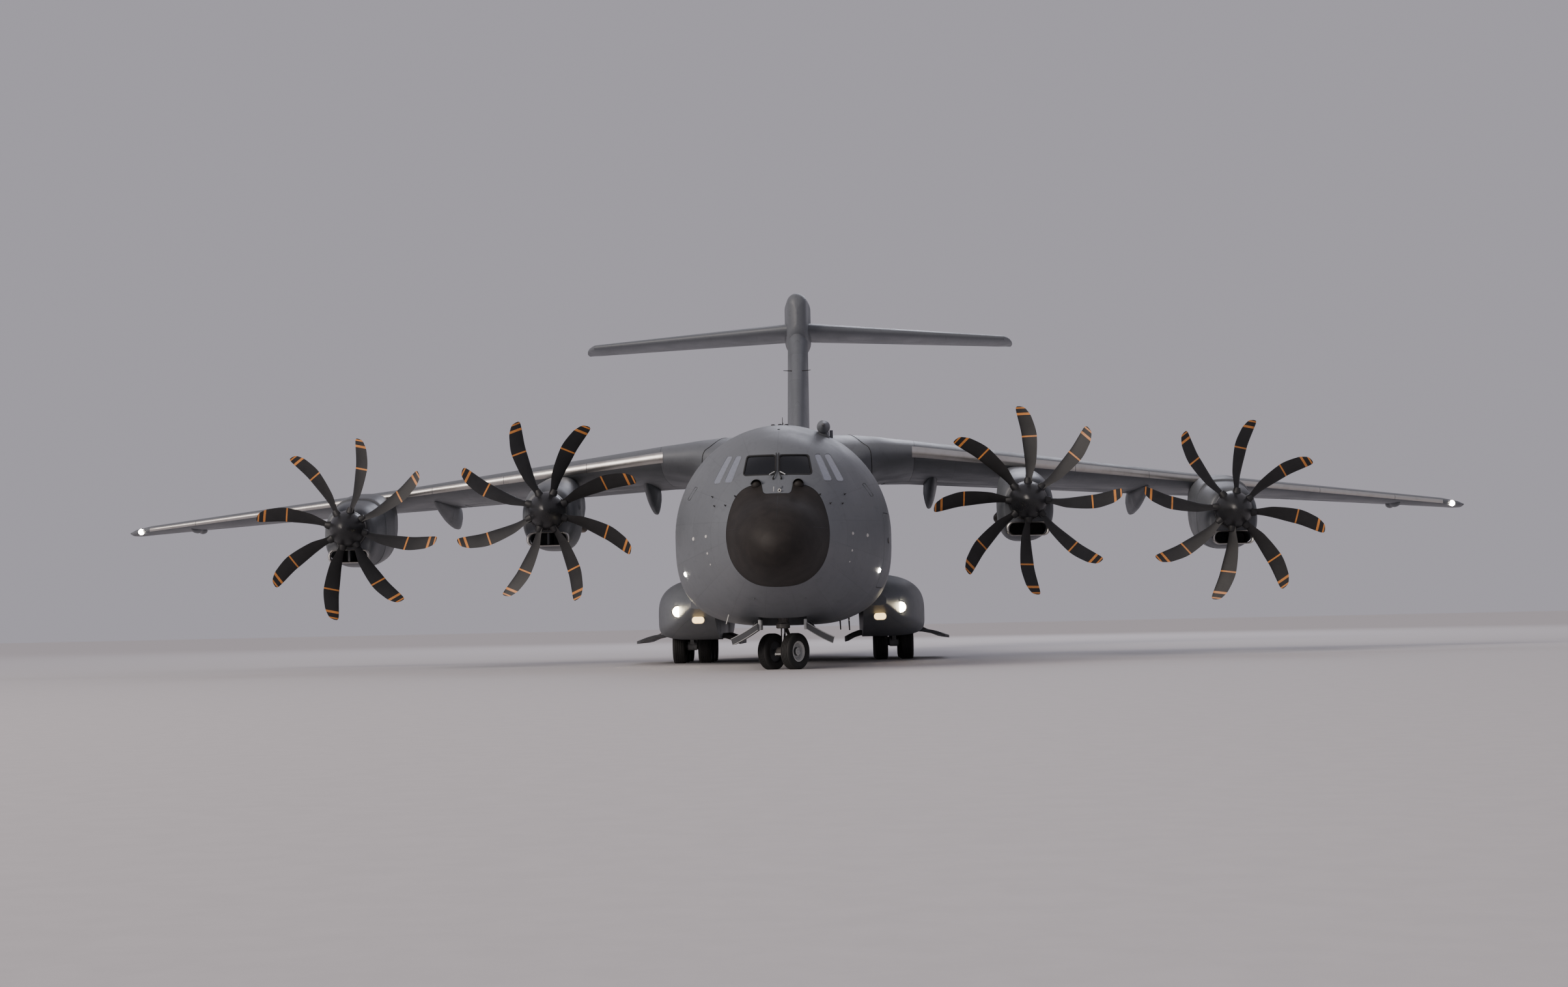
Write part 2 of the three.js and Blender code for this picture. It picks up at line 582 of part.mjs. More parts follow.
// The hollow that a control surface's round nose turns in
function coveRod([from, to], [r0, r1]) {
  const step = new THREE.Vector3().subVectors(to, from).setLength(PIN_GAP * K);
  const [wide, narrow] = [r0, r1].map((r) => (r + CLEAR) / Math.cos(Math.PI / 12));
  return rod(from.clone().sub(step), to.clone().add(step), wide, narrow, 12);
}

const PIN = { radius: 0.02, stub: 0.015, depth: 0.08 };

// Hinge pins that meet face to face in the gaps at both ends of a control surface
function endPins([moving, fixed], ends) {
  const pin = (end, way, from, to) => {
    const step = new THREE.Vector3().subVectors(ends[1], ends[0]).setLength(way * K);
    const [a, b] = [from, to].map((d) => end.clone().addScaledVector(step, d));
    return rod(a, b, PIN.radius, PIN.radius, 4);
  };
  const places = [[ends[0], -1], [ends[1], 1]];
  const inner = places.map(([end, way]) => pin(end, way, -PIN.depth, PIN.stub - TOUCH / 2));
  const outer = places.map(([end, way]) => pin(end, way, PIN.stub + TOUCH / 2, PIN.depth));
  return [joined([moving, ...inner]), joined([fixed, ...outer])];
}

// The fairing that carries the wing over the crown: s and z round its side outline
const SADDLE_HALF = 2.2 - TOUCH;
const SADDLE = [
  [12.2, 5.0], [12.3, 5.9], [12.9, 6.38], [13.9, 6.7], [15.4, 6.88], [17.4, 6.9],
  [19.6, 6.66], [21.8, 6.36], [24.2, 5.95], [24.6, 5.0],
];

// Sections across the fairing: x, rise of its upper line, share of its length before and after its middle
const SADDLE_MIDDLE = 17;
const SADDLE_SECTIONS = [
  [-SADDLE_HALF, -0.1, 0.76, 0.6],
  [-1.2, 0, 0.94, 0.85],
  [0, 0.05, 1, 1],
  [1.2, 0, 0.94, 0.85],
  [SADDLE_HALF, -0.1, 0.76, 0.6],
];

function saddle() {
  const rings = SADDLE_SECTIONS.map(([x, rise, before, after]) =>
    SADDLE.map(([s, z]) => {
      const reach = (s - SADDLE_MIDDLE) * (s < SADDLE_MIDDLE ? before : after);
      return at(x, SADDLE_MIDDLE + reach, z > 5.1 ? z + rise : z);
    }),
  );
  piece("wing_centre", loft(rings).subtract(hull([NOSE_END, BARREL_END], -TOUCH)), "skin");
}

// Engines

// Engines: name, x, hub height, propeller station, share of the full nacelle's length
const ENGINES = [
  ["inner", 6.83, 4.48, 12.0, 1],
  ["outer", 12.97, 4.18, 13.9, 0.81],
];

// Nacelle: station behind the propeller, half width, top and bottom from the hub
const NACELLE = [
  [0.3, 0.7, 0.6, -0.98],
  [0.55, 0.76, 0.72, -1.04],
  [1.0, 0.78, 0.82, -1.07],
  [2.0, 0.84, 1.0, -1.08],
  [3.5, 0.84, 1.2, -0.95],
  [5.0, 0.7, 1.15, -0.5],
  [6.8, 0.2, 0.85, 0.35],
];
const NACELLE_SIDES = 14;
const HUB_RADIUS = 0.55;

// The two halves of the intake under the spinner, from the hub: middle, half width, lower and upper edge, depth
const INTAKE = { x: 0.29, half: 0.23, low: -0.94, high: -0.64, depth: 1.4 };
const LIP = [ // the intake's lip: station, half width, middle height, half height
  [0.26, 0.64, -0.79, 0.26],
  [0.34, 0.68, -0.78, 0.31],
  [1.6, 0.62, -0.7, 0.36],
];

function nacelle(x, z, s, share) {
  const ring = (ds, half, middle, tall) =>
    Array.from({ length: NACELLE_SIDES }, (_, i) => {
      const angle = (i / NACELLE_SIDES) * 2 * Math.PI;
      const [c, n] = [Math.cos(angle), Math.sin(angle)].map((v) => Math.sign(v) * Math.abs(v) ** 0.82);
      return at(x + c * half, s + ds, z + middle + n * tall);
    });
  const body = NACELLE.map(([ds, half, top, bottom]) =>
    ring(ds * (ds > 2 ? share : 1), half, (top + bottom) / 2, (top - bottom) / 2));
  const lip = LIP.map((row) => ring(...row));
  let solid = loft(body).add(loft(lip)).subtract(wingSolid(TOUCH));
  for (const side of [-1, 1]) {
    const [left, right] = [-INTAKE.half, INTAKE.half].map((half) => x + side * INTAKE.x + half);
    solid = solid.subtract(box([left, s, z + INTAKE.low], [right, s + INTAKE.depth, z + INTAKE.high]));
  }
  return solid.subtract(rod(at(x, s, z), at(x, s + 0.34, z), HUB_RADIUS * 0.7, HUB_RADIUS * 0.7, 10));
}

// Blade: radius, half chord, sweep behind the blade's line, pitch in degrees, half thickness
const BLADE = [
  [0.3, 0.11, 0, 62, 0.06],
  [1.1, 0.18, -0.08, 45, 0.035],
  [1.8, 0.21, -0.06, 35, 0.024],
  [2.35, 0.17, 0.1, 29, 0.015],
  [2.665, 0.07, 0.28, 26, 0.008],
];
const BLADES = 8;

// A propeller at the origin with its axis along Y; sense 1 turns clockwise as seen from the front.
function propeller(sense) {
  const spinner = turned([[0, -0.62], [0.2, -0.56], [0.4, -0.34], [0.52, -0.02], [HUB_RADIUS, 0.24], [0, 0.24]], 12);
  const parts = [spinner, rod(at(0, 0.2, 0), at(0, 0.34 - TOUCH, 0), 0.3, 0.3, 10)];
  for (let k = 0; k < BLADES; k++) {
    const turn = new THREE.Matrix4().makeRotationY((k / BLADES) * 2 * Math.PI);
    const rings = BLADE.map(([radius, half, sweep, pitch, thick]) => {
      const lean = THREE.MathUtils.degToRad(pitch);
      const corners = [[-half, 0], [-half * 0.2, thick], [half, 0], [-half * 0.2, -thick]];
      return corners.map(([along, up]) => {
        const across = along * Math.cos(lean) - up * Math.sin(lean) - sweep;
        const aft = -along * Math.sin(lean) - up * Math.cos(lean);
        return at(sense * across, aft, radius).applyMatrix4(turn);
      });
    });
    parts.push(loft(rings));
  }
  return joined(parts);
}

// Propeller places: name, engine row, side of the plane, sense, turn of the first blade in degrees
const PROPELLERS = [
  ["outer_port", 1, 1, -1, 9],
  ["inner_port", 0, 1, 1, 1],
  ["inner_starboard", 0, -1, -1, 22],
  ["outer_starboard", 1, -1, 1, 13],
];

function engines() {
  for (const [name, x, z, s, share] of ENGINES) pair(`nacelle_${name}`, nacelle(x, z, s, share), "darkSkin");
  const shapes = { 1: propeller(1), [-1]: propeller(-1) };
  for (const [name, row, side, sense, turn] of PROPELLERS) {
    const [, x, z, s] = ENGINES[row];
    const mesh = piece(`propeller_${name}`, shapes[sense], "blade");
    mesh.position.copy(at(side * x, s, z));
    mesh.rotation.y = THREE.MathUtils.degToRad(turn);
    hinges[`propeller_${name}`] = { pivot: mesh.position.clone(), axis: new THREE.Vector3(0, 1, 0) };
  }
}

// Fin and tailplane

// Fin: height, leading edge, trailing edge, half thickness
const FIN = [
  [5.6, 29.2, 41.0, 0.36],
  [6.7, 32.0, 41.2, 0.38],
  [7.6, 33.3, 41.45, 0.39],
  [13.0, 38.5, 43.1, 0.33],
];

const finRow = (z) => {
  const i = Math.max(1, FIN.findIndex((row) => row[0] >= z));
  const [a, b] = [FIN[i - 1], FIN[i]];
  const t = (z - a[0]) / (b[0] - a[0]);
  return a.map((value, n) => value + (b[n] - value) * t).slice(1);
};

const finRing = ([z, lead, trail, half]) =>
  sectionRing([lead, trail, 0, 0, half * 2, 0], (s, x) => at(x, s, z), 0);

// Rudder: its ends' heights, its part of the chord, how far its sides bulge past its nose, and how far its
// edges keep from the ends and fall towards the back, since its slanting hinge line lifts them as it turns
const RUDDER = { low: 6.75, high: 12.1, chord: 0.7, swell: 0.025, trim: 0.02, fall: 0.045 };

function finHinge(z) {
  const [lead, trail, half] = finRow(z);
  return { point: at(0, lead + (trail - lead) * RUDDER.chord, z), half: half * 2 * sectionHalf(RUDDER.chord) + 0.012 };
}

// Bullet over the fin: station, half width, bottom, top
const BULLET = [
  [38.3, 0.03, 13.5, 13.75],
  [38.7, 0.28, 12.85, 14.4],
  [39.5, 0.48, 12.4, 14.66],
  [40.6, 0.55, 12.3, 14.7],
  [42.2, 0.48, 12.4, 14.45],
  [43.8, 0.26, 12.7, 13.9],
  [44.7, 0.05, 13.1, 13.4],
];

const bulletSolid = (grow = 0) =>
  loft(
    BULLET.map(([s, half, bottom, top]) =>
      Array.from({ length: 12 }, (_, i) => {
        const angle = (i / 12) * 2 * Math.PI;
        const z = (top + bottom) / 2 + Math.sin(angle) * ((top - bottom) / 2 + grow);
        return at(Math.cos(angle) * (half + grow), s, z);
      }),
    ),
  );

// Tailplane: x, leading and trailing edge stations, their heights, thickness, camber
const TAILPLANE = [
  [-9.02, 42.55, 45.1, 13.02, 13.02, 0.22, 0],
  [-8.7, 42.2, 45.06, 13.03, 13.03, 0.3, 0],
  [0, 39.2, 43.85, 13.28, 13.28, 0.6, 0],
  [8.7, 42.2, 45.06, 13.03, 13.03, 0.3, 0],
  [9.02, 42.55, 45.1, 13.02, 13.02, 0.22, 0],
];
const ELEVATOR = { inner: 0.95, outer: 8.6, chord: 0.7 };

function tailRow(x) {
  const [a, b] = [TAILPLANE[2], TAILPLANE[3]];
  const t = x / b[0];
  return a.map((value, n) => value + (b[n] - value) * t).slice(1);
}

const SKIN = 0.07;
const HOLLOW_STEPS = [0.07, 0.16, 0.35, 0.6];

// The hollow behind a tail surface's skin, ahead of its rear spar
function hollowRing(row, place) {
  const upper = HOLLOW_STEPS.map((u) => chordPoint(row, u, 1)).reverse();
  const lower = HOLLOW_STEPS.map((u) => chordPoint(row, u, -1));
  return [...upper.map(([s, z]) => place(s, z - SKIN)), ...lower.map(([s, z]) => place(s, z + SKIN))];
}

const TAIL_HOLLOWS = [-7.9, 0, 7.9].map((x) => [x, ...tailRow(Math.abs(x))]);
const FIN_HOLLOW = [5.61, 6.7, 7.6, 12.0].map((z) => [z, ...finRow(z)]);

function empennage() {
  const bullet = bulletSolid();
  const plane = loft(TAILPLANE.map(([x, ...row]) => sectionRing(row, (s, z) => at(x, s, z), 0)));
  const ends = [ELEVATOR.inner, ELEVATOR.outer].map((x) => {
    const [[s, high], [, low]] = [1, -1].map((side) => chordPoint(tailRow(x), ELEVATOR.chord, side));
    return { x, s, z: (high + low) / 2, half: (high - low) / 2 };
  });
  const [a, b] = ends;
  const strip = (gap) => [[a.x - gap, a.s], [b.x + gap, b.s], [b.x + gap, 47], [a.x - gap, 47]];
  const [from, to] = [at(a.x, a.s, a.z), at(b.x, b.s, b.z)];
  let elevator = plane.intersect(planPrism(strip(0), 12, 15)).add(rod(from, to, a.half, b.half));
  let fixed = plane.add(bullet);
  for (const way of [(v) => v, across]) {
    const gap = planPrism(strip(PIN_GAP).map(([x, s]) => [way(at(x, s, 0)).x / K, s]), 12, 15);
    fixed = fixed.subtract(gap).subtract(coveRod([way(from), way(to)], [a.half, b.half]));
    [, fixed] = endPins([elevator, fixed], [way(from), way(to)]);
  }
  [elevator] = endPins([elevator, fixed], [from, to]);
  const hollow = loft(TAIL_HOLLOWS.map(([x, ...row]) => hollowRing(row, (s, z) => at(x, s, z))));
  const way = box([-0.15, 40.2, 12], [0.15, 40.9, 13.2]);
  piece("tailplane", fixed.subtract(hollow).subtract(way), "skin");
  pair("elevator", elevator, "skin");
  pairHinge("elevator", from, to);

  const fin = loft(FIN.map(finRing));
  const [low, high] = [RUDDER.low, RUDDER.high].map(finHinge);
  const outline = (gap, fall) => {
    const [p, q] = [low.point, high.point].map((v) => [v.y / K, v.z / K]);
    const drop = (47 - q[0]) * fall;
    return [[p[0], p[1] - gap], [q[0], q[1] + gap], [47, q[1] + gap - drop], [47, p[1] - gap]];
  };
  const spindle = [low.point, high.point];
  const sides = fin.intersect(sidePrism(outline(-RUDDER.trim, RUDDER.fall), -1, 1));
  const leaf = sides.add(rod(...spindle, low.half, high.half));
  const tailplaneSeat = loft(TAILPLANE.map(([x, ...row]) => sectionRing(row, (s, z) => at(x, s, z), TOUCH)));
  const inside = loft(FIN_HOLLOW.map(([z, lead, trail, half]) =>
    hollowRing([lead, trail, 0, 0, half * 2, 0], (s, x) => at(x, s, z))));
  let frame = fin.subtract(hull(TAIL_STATIONS, -TOUCH)).subtract(bulletSolid(TOUCH)).subtract(tailplaneSeat);
  frame = frame.subtract(sidePrism(outline(PIN_GAP, 0), -1, 1)).subtract(coveRod(spindle, [low.half, high.half].map((r) => r + RUDDER.swell)));
  const [rudder, framed] = endPins([leaf, frame.subtract(inside)], spindle);
  piece("rudder", rudder, "skin");
  hingeLine("rudder", ...spindle);
  piece("fin", framed, "skin");
}

// Landing gear

// Sponson: station, outer x, top, bottom
const SPONSON = [
  [11.6, 2.75, 1.95, 1.6],
  [12.4, 3.2, 2.2, 1.2],
  [13.6, 3.65, 2.42, 0.9],
  [15.0, 3.93, 2.56, 0.74],
  [16.4, 3.99, 2.58, 0.71],
  [21.5, 3.99, 2.58, 0.71],
  [23.2, 3.75, 2.4, 0.9],
  [24.6, 3.2, 2.1, 1.3],
  [25.3, 2.8, 1.95, 1.6],
];
const SPONSON_INNER = 2.26;
const MAIN_BAY = { inner: 2.4, outer: 3.8, front: 16.4, back: 21.5, top: 1.8, sill: 0.88 };

function sponson(grow = 0) {
  const rings = SPONSON.map(([s, outer, top, bottom]) => {
    const middle = bottom + (top - bottom) * 0.38;
    const reach = outer - SPONSON_INNER + grow;
    const arc = (angles, power, height) =>
      angles.map((angle) => {
        const [c, n] = [Math.cos(angle), Math.sin(angle)].map((v) => Math.max(0, v) ** (2 / power));
        return at(SPONSON_INNER - grow + c * reach, s, middle + n * height);
      });
    const upper = arc([90, 66, 45, 25, 0].map(THREE.MathUtils.degToRad), 2.8, top - middle + grow);
    const lower = arc([30, 45, 62, 90].map(THREE.MathUtils.degToRad), 5, -(middle - bottom + grow));
    return [...upper, ...lower];
  });
  return loft(rings);
}

// Wheels: tyre radius, tyre width, half the spacing of the twin wheels, axle radius
const MAIN_WHEEL = { radius: 0.545, width: 0.39, half: 0.3875, axle: 0.075 };
const NOSE_WHEEL = { radius: 0.46, width: 0.29, half: 0.36, axle: 0.06 };
const WHEEL_SIDES = 12;
const AXLE_SIDES = 6;
const axleHeight = ({ radius }) => radius * Math.cos(Math.PI / WHEEL_SIDES);
const MAIN_TRACK = 3.08; // half of it
const MAIN_STATIONS = [["front", 17.1], ["middle", 18.85], ["rear", 20.6]];

// Twin wheels on one axle at the origin, with the axle along X
function twinWheels({ radius, width, half, axle }) {
  const [w, rim] = [width / 2, radius * 0.56];
  const profile = [
    [0, -w * 0.6], [rim, -w * 0.6], [rim * 1.12, -w], [radius * 0.93, -w], [radius, -w * 0.55],
    [radius, w * 0.55], [radius * 0.93, w], [rim * 1.12, w], [rim, w * 0.6], [0, w * 0.6],
  ];
  const wheel = new THREE.LatheGeometry(profile.map(([r, y]) => new THREE.Vector2(r * K, y * K)), WHEEL_SIDES);
  wheel.rotateY(Math.PI / WHEEL_SIDES).rotateZ(-Math.PI / 2);
  const wheels = [-1, 1].map((side) => solidOf(wheel.clone().translate(side * half * K, 0, 0)));
  const collars = [-1, 1].map((side) => {
    const [from, to] = [knuckleReach({ width, half }) + TOUCH, half].map((d) => at(side * d, 0, 0));
    return rod(from, to, axle * 1.65, axle * 1.65, 8);
  });
  return joined([...wheels, ...collars, rod(at(-half, 0, 0), at(half, 0, 0), axle, axle, AXLE_SIDES)]);
}

const knuckleReach = ({ width, half }) => half - width / 2 - 0.04;

// A knuckle with a bore round an axle along X at the origin
function knuckle(wheel, size) {
  const reach = knuckleReach(wheel);
  const boreRadius = (wheel.axle + CLEAR * 0.7) / Math.cos(Math.PI / AXLE_SIDES);
  const bore = rod(at(-1, 0, 0), at(1, 0, 0), boreRadius, boreRadius, AXLE_SIDES);
  return { block: box([-reach, -size, -size], [reach, size, size]), bore };
}

function mainGear() {
  const bay = box([MAIN_BAY.inner, MAIN_BAY.front, 0], [MAIN_BAY.outer, MAIN_BAY.back, MAIN_BAY.top]);
  const sill = box([1.9, MAIN_BAY.front, 0], [4.3, MAIN_BAY.back, MAIN_BAY.sill]);
  const body = sponson().subtract(hull([NOSE_END, BARREL_END], -TOUCH)).subtract(bay).subtract(sill);
  pair("sponson", body, "skin");

  const legs = [box([2.9, 16.7, 1.62], [3.26, 21.2, MAIN_BAY.top - TOUCH])];
  for (const [, s] of MAIN_STATIONS) {
    const { block, bore } = knuckle(MAIN_WHEEL, 0.13);
    const centre = at(MAIN_TRACK, s, axleHeight(MAIN_WHEEL)).toArray();
    const post = rod(at(MAIN_TRACK, s - 0.12, 1.7), at(MAIN_TRACK, s, axleHeight(MAIN_WHEEL)), 0.13, 0.1, 10);
    const strut = rod(at(MAIN_TRACK, s + 0.55, 1.7), at(MAIN_TRACK, s + 0.03, 0.75), 0.06, 0.06, 6);
    legs.push(joined([post, strut, block.translate(centre)]).subtract(bore.translate(centre)));
  }
  pair("main_gear_legs", joined(legs), "gear");
  const wheels = twinWheels(MAIN_WHEEL);
  for (const [sideName, side] of [["port", 1], ["starboard", -1]])
    for (const [name, s] of MAIN_STATIONS) {
      const mesh = piece(`main_wheels_${name}_${sideName}`, wheels, "rubber");
      mesh.position.copy(at(side * MAIN_TRACK, s, axleHeight(MAIN_WHEEL)));
      hinges[mesh.name] = { pivot: mesh.position.clone(), axis: new THREE.Vector3(1, 0, 0) };
    }

  // Doors: name, hinge x and z, free edge x and z
  const doors = [
    ["main_gear_door_inner", 2.33, 0.845, 1.59, 0.62],
    ["main_gear_door_outer", 3.86, 0.845, 4.75, 0.62],
  ];
  for (const [name, x0, z0, x1, z1] of doors) {
    const ring = (s) => [at(x0, s, z0), at(x0, s, z0 + 0.06), at(x1, s, z1 + 0.06), at(x1, s, z1)];
    const slab = loft([ring(MAIN_BAY.front + 0.05), ring(MAIN_BAY.back - 0.05)]);
    const roof = box([1, 16, MAIN_BAY.sill - TOUCH], [5, 22, 2]);
    pair(name, slab.subtract(roof), "skin");
  }
}

const STEER = 36; // degrees to starboard, as it stands

function noseGear() {
  const s = 4.95;
  const axleZ = axleHeight(NOSE_WHEEL);
  const leg = [
    box([-0.25, s - 0.25, 1.62], [0.25, s + 0.25, NOSE_BAY.top - TOUCH]),
    rod(at(0, s, 1.7), at(0, s, 0.98), 0.13),
    rod(at(0, 6.0, 1.7), at(0, s + 0.05, 1.15), 0.06, 0.06, 8),
    box([-0.2, 5.8, 1.66], [0.2, 6.2, NOSE_BAY.top - TOUCH]),
  ];
  piece("nose_gear_leg", joined(leg), "gear");

  const steered = new THREE.Group();
  steered.position.copy(at(0, s, 0));
  steered.rotation.z = THREE.MathUtils.degToRad(-STEER);
  airframe.add(steered);
  const { block, bore } = knuckle(NOSE_WHEEL, 0.11);
  const lift = [0, 0, axleZ * K];
  const fork = joined([
    rod(at(0, 0, 0.98 - TOUCH), at(0, 0, 0.86), 0.16),
    rod(at(0, 0, 0.9), at(0, 0, axleZ), 0.08),
    box([-0.05, 0.06, 0.5], [0.05, 0.2, 0.9]),
    block.translate(lift),
  ]).subtract(bore.translate(lift));
  piece("nose_gear_fork", fork, "steel", steered);
  const wheels = piece("nose_wheels", twinWheels(NOSE_WHEEL), "rubber", steered);
  wheels.position.z = axleZ * K;
  hinges.nose_gear_fork = { pivot: at(0, s, 0.7), axis: new THREE.Vector3(0, 0, 1) };
  const axleAxis = new THREE.Vector3(1, 0, 0).applyEuler(steered.rotation);
  hinges.nose_wheels = { pivot: at(0, s, axleZ), axis: axleAxis };

  const ring = (at0) => [[0.62, 1.15], [0.69, 1.2], [1.24, 0.72], [1.18, 0.66]].map(([x, z]) => at(x, at0, z));
  const door = loft([ring(4.2), ring(6.2)]).subtract(hull(NOSE_STATIONS, -TOUCH));
  pair("nose_gear_door", door, "skin");
}

// Refuelling probe over the cockpit, on the port side: station, half width, z of the middle, half height
const PROBE = [
  [4.9, 0.06, 6.1, 0.06],
  [5.05, 0.12, 6.1, 0.12],
  [5.3, 0.195, 6.1, 0.195],
  [5.5, 0.12, 6.11, 0.12],
  [7.4, 0.12, 6.18, 0.13],
  [8.6, 0.08, 6.16, 0.1],
];
const PROBE_X = 1.1;

function probe() {
  const rings = PROBE.map(([s, half, z, tall]) =>
    Array.from({ length: 10 }, (_, i) => {
      const angle = (i / 10) * 2 * Math.PI;
      return at(PROBE_X + Math.cos(angle) * half, s, z + Math.sin(angle) * tall);
    }),
  );
  const foot = loft([5.6, 8.4].map((s) => [[0.98, 5.6], [1.22, 5.6], [1.16, 6.14], [1.04, 6.14]].map(([x, z]) => at(x, s, z))));
  const skin = hull([...NOSE_STATIONS.slice(0, -1), NOSE_END, 9.5], -TOUCH);
  piece("refuelling_probe", loft(rings).add(foot).subtract(skin), "darkSkin");
}

nose();
barrel();
tail();
saddle();
wings();
engines();
empennage();
mainGear();
noseGear();
probe();

export default group;
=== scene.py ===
"""A half-size military transport plane on its landing gear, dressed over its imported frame.

Every table gives the real plane's sizes in metres: x to port, stations aft from the nose tip, z up.
model() turns them into the half-size frame. A skin is a closed surface, given as points, faces and tones.
"""
import math
import bpy
import numpy as np
from mathutils import Matrix, Vector


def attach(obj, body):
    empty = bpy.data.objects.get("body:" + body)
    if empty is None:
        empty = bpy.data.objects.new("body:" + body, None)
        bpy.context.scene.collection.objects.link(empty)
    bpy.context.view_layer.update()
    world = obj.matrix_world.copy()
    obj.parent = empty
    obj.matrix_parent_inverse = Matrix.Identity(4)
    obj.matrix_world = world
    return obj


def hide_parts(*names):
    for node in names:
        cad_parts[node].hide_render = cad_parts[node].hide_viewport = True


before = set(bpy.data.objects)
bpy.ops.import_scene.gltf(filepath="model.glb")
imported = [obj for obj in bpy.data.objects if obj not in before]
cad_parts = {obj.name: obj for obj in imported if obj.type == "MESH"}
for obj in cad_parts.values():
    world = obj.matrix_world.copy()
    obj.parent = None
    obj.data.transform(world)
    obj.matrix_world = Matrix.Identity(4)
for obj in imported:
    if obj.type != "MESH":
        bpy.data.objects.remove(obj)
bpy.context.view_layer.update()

SCALE = 0.5
MIDDLE = 22.55  # the station over the frame's origin
TAU = 2 * math.pi


def model(points):
    """Real metres to the frame's metres: shifted so the plane's middle is the origin, then halved."""
    return (np.asarray(points, float) - [0, MIDDLE, 0]) * SCALE


# Skins: grids of points with quads between neighbours


def quads(rows, columns, round_rows=False, round_columns=True):
    """Corner numbers of the quads of a grid of points, joined round where asked."""
    i = np.arange(rows if round_rows else rows - 1)[:, None]
    j = np.arange(columns if round_columns else columns - 1)[None, :]
    i2, j2 = (i + 1) % rows, (j + 1) % columns
    corners = np.broadcast_arrays(i * columns + j, i * columns + j2, i2 * columns + j2, i2 * columns + j)
    return np.stack(corners, -1).reshape(-1, 4)


def outward(points, faces, tones):
    """Turns all faces of a closed skin outwards, by the sign of the volume that they enclose."""
    volume = 0.0
    for f in faces:
        for k in range(1, f.shape[1] - 1):
            volume += np.einsum("ij,ij->", points[f[:, 0]], np.cross(points[f[:, k]], points[f[:, k + 1]]))
    return points, [f[:, ::-1] for f in faces] if volume < 0 else faces, tones


def skin(rings, start="fan", end="fan", tone=0):
    """Closed skin over rings (n, m, 3). An end is closed by a fan to its middle or to a given point, or,
    for "zip", by quads between the ring's first half and its second half run backwards."""
    n, m = rings.shape[:2]
    points, faces, extra = [rings.reshape(-1, 3)], [quads(n, m)], n * m
    j = np.arange(m)
    for how, row in ((start, 0), (end, n - 1)):
        if isinstance(how, str) and how == "zip":
            k = np.arange(m // 2 - 1)
            cap = row * m + np.stack([k, k + 1, m - 2 - k, m - 1 - k], -1)
        else:
            points.append((rings[row].mean(0) if isinstance(how, str) else np.asarray(how, float))[None])
            cap = np.stack([row * m + j, row * m + (j + 1) % m, np.full(m, extra)], -1)
            extra += 1
        faces.append(cap if row else cap[:, ::-1])
    cap_tone = 0 if np.ndim(tone) else tone
    return outward(np.vstack(points), faces, [np.broadcast_to(tone, len(faces[0])), cap_tone, cap_tone])


def loop_skin(rings):
    """Closed skin of a grid that is joined round both ways."""
    return outward(rings.reshape(-1, 3), [quads(*rings.shape[:2], True)], [0])


def wall(outer, inner):
    """The closed wall between two sets of rings, with a flat rim at each end."""
    return loop_skin(np.concatenate([outer, inner[::-1]]))


def slab(outer, inner):
    """The closed slab between two open patches (n, m, 3) of the same grid."""
    return skin(np.concatenate([outer, inner[:, ::-1]], 1), "zip", "zip")


def xyz(x, s, z):
    """Points from three arrays, spread over each other's shape."""
    return np.stack(np.broadcast_arrays(x, s, z), -1)


def spread(*spans):
    """Places spread evenly over spans, each given as its first and last place and their count."""
    return np.concatenate([np.linspace(*span) for span in spans])


def circle(count):
    return np.arange(count) / count * TAU


def squared(a, power):
    """The cosine and sine of angles, with their sizes raised to a power."""
    return [np.sign(v) * np.abs(v) ** power for v in (np.cos(a), np.sin(a))]


def unit(v):
    v = np.asarray(v, float)
    return v / np.linalg.norm(v, axis=-1, keepdims=True)


def basis(direction):
    """Two unit vectors square to a direction and to each other."""
    d = unit(direction)
    side = unit(np.cross(d, [0, 0, 1.0] if abs(d[2]) < 0.9 else [0, 1.0, 0]))
    return side, np.cross(side, d)


def lathe(profile, origin, direction, count=32, tone=0):
    """Turned body: rows of (radius, distance) carried round a line from origin along direction."""
    profile, way = np.asarray(profile, float), unit(direction)
    side, up = basis(direction)
    a = circle(count)
    spoke = np.cos(a)[:, None] * side + np.sin(a)[:, None] * up
    rings = np.asarray(origin) + profile[:, None, :1] * spoke + profile[:, None, 1:] * way
    if np.ndim(tone):
        tone = np.repeat(tone, count)
    ends = [np.asarray(origin) + profile[k, 1] * way for k in (0, -1)]
    return skin(rings, *ends, tone)


def rod(start, end, radius, count=16, tone=0, end_radius=None):
    """Round bar between two points with slightly rounded ends."""
    length = np.linalg.norm(np.subtract(end, start))
    last = radius if end_radius is None else end_radius
    b = min(radius, last) * 0.15
    rows = [(radius - b, 0), (radius, b), (last, length - b), (last - b, length)]
    return lathe(rows, start, np.subtract(end, start), count, tone)


def tube(path, radius, count=12):
    """A round tube whose rings stand square to the path at each of its points."""
    path = np.asarray(path, float)
    along = unit(np.gradient(path, axis=0))
    side = unit(np.cross(along, [0.31, 0.17, 0.94]))
    up = np.cross(side, along)
    a = circle(count)
    radius = np.broadcast_to(radius, len(path))[:, None, None]
    around = np.cos(a)[:, None] * side[:, None] + np.sin(a)[:, None] * up[:, None]
    return skin(path[:, None] + radius * around)


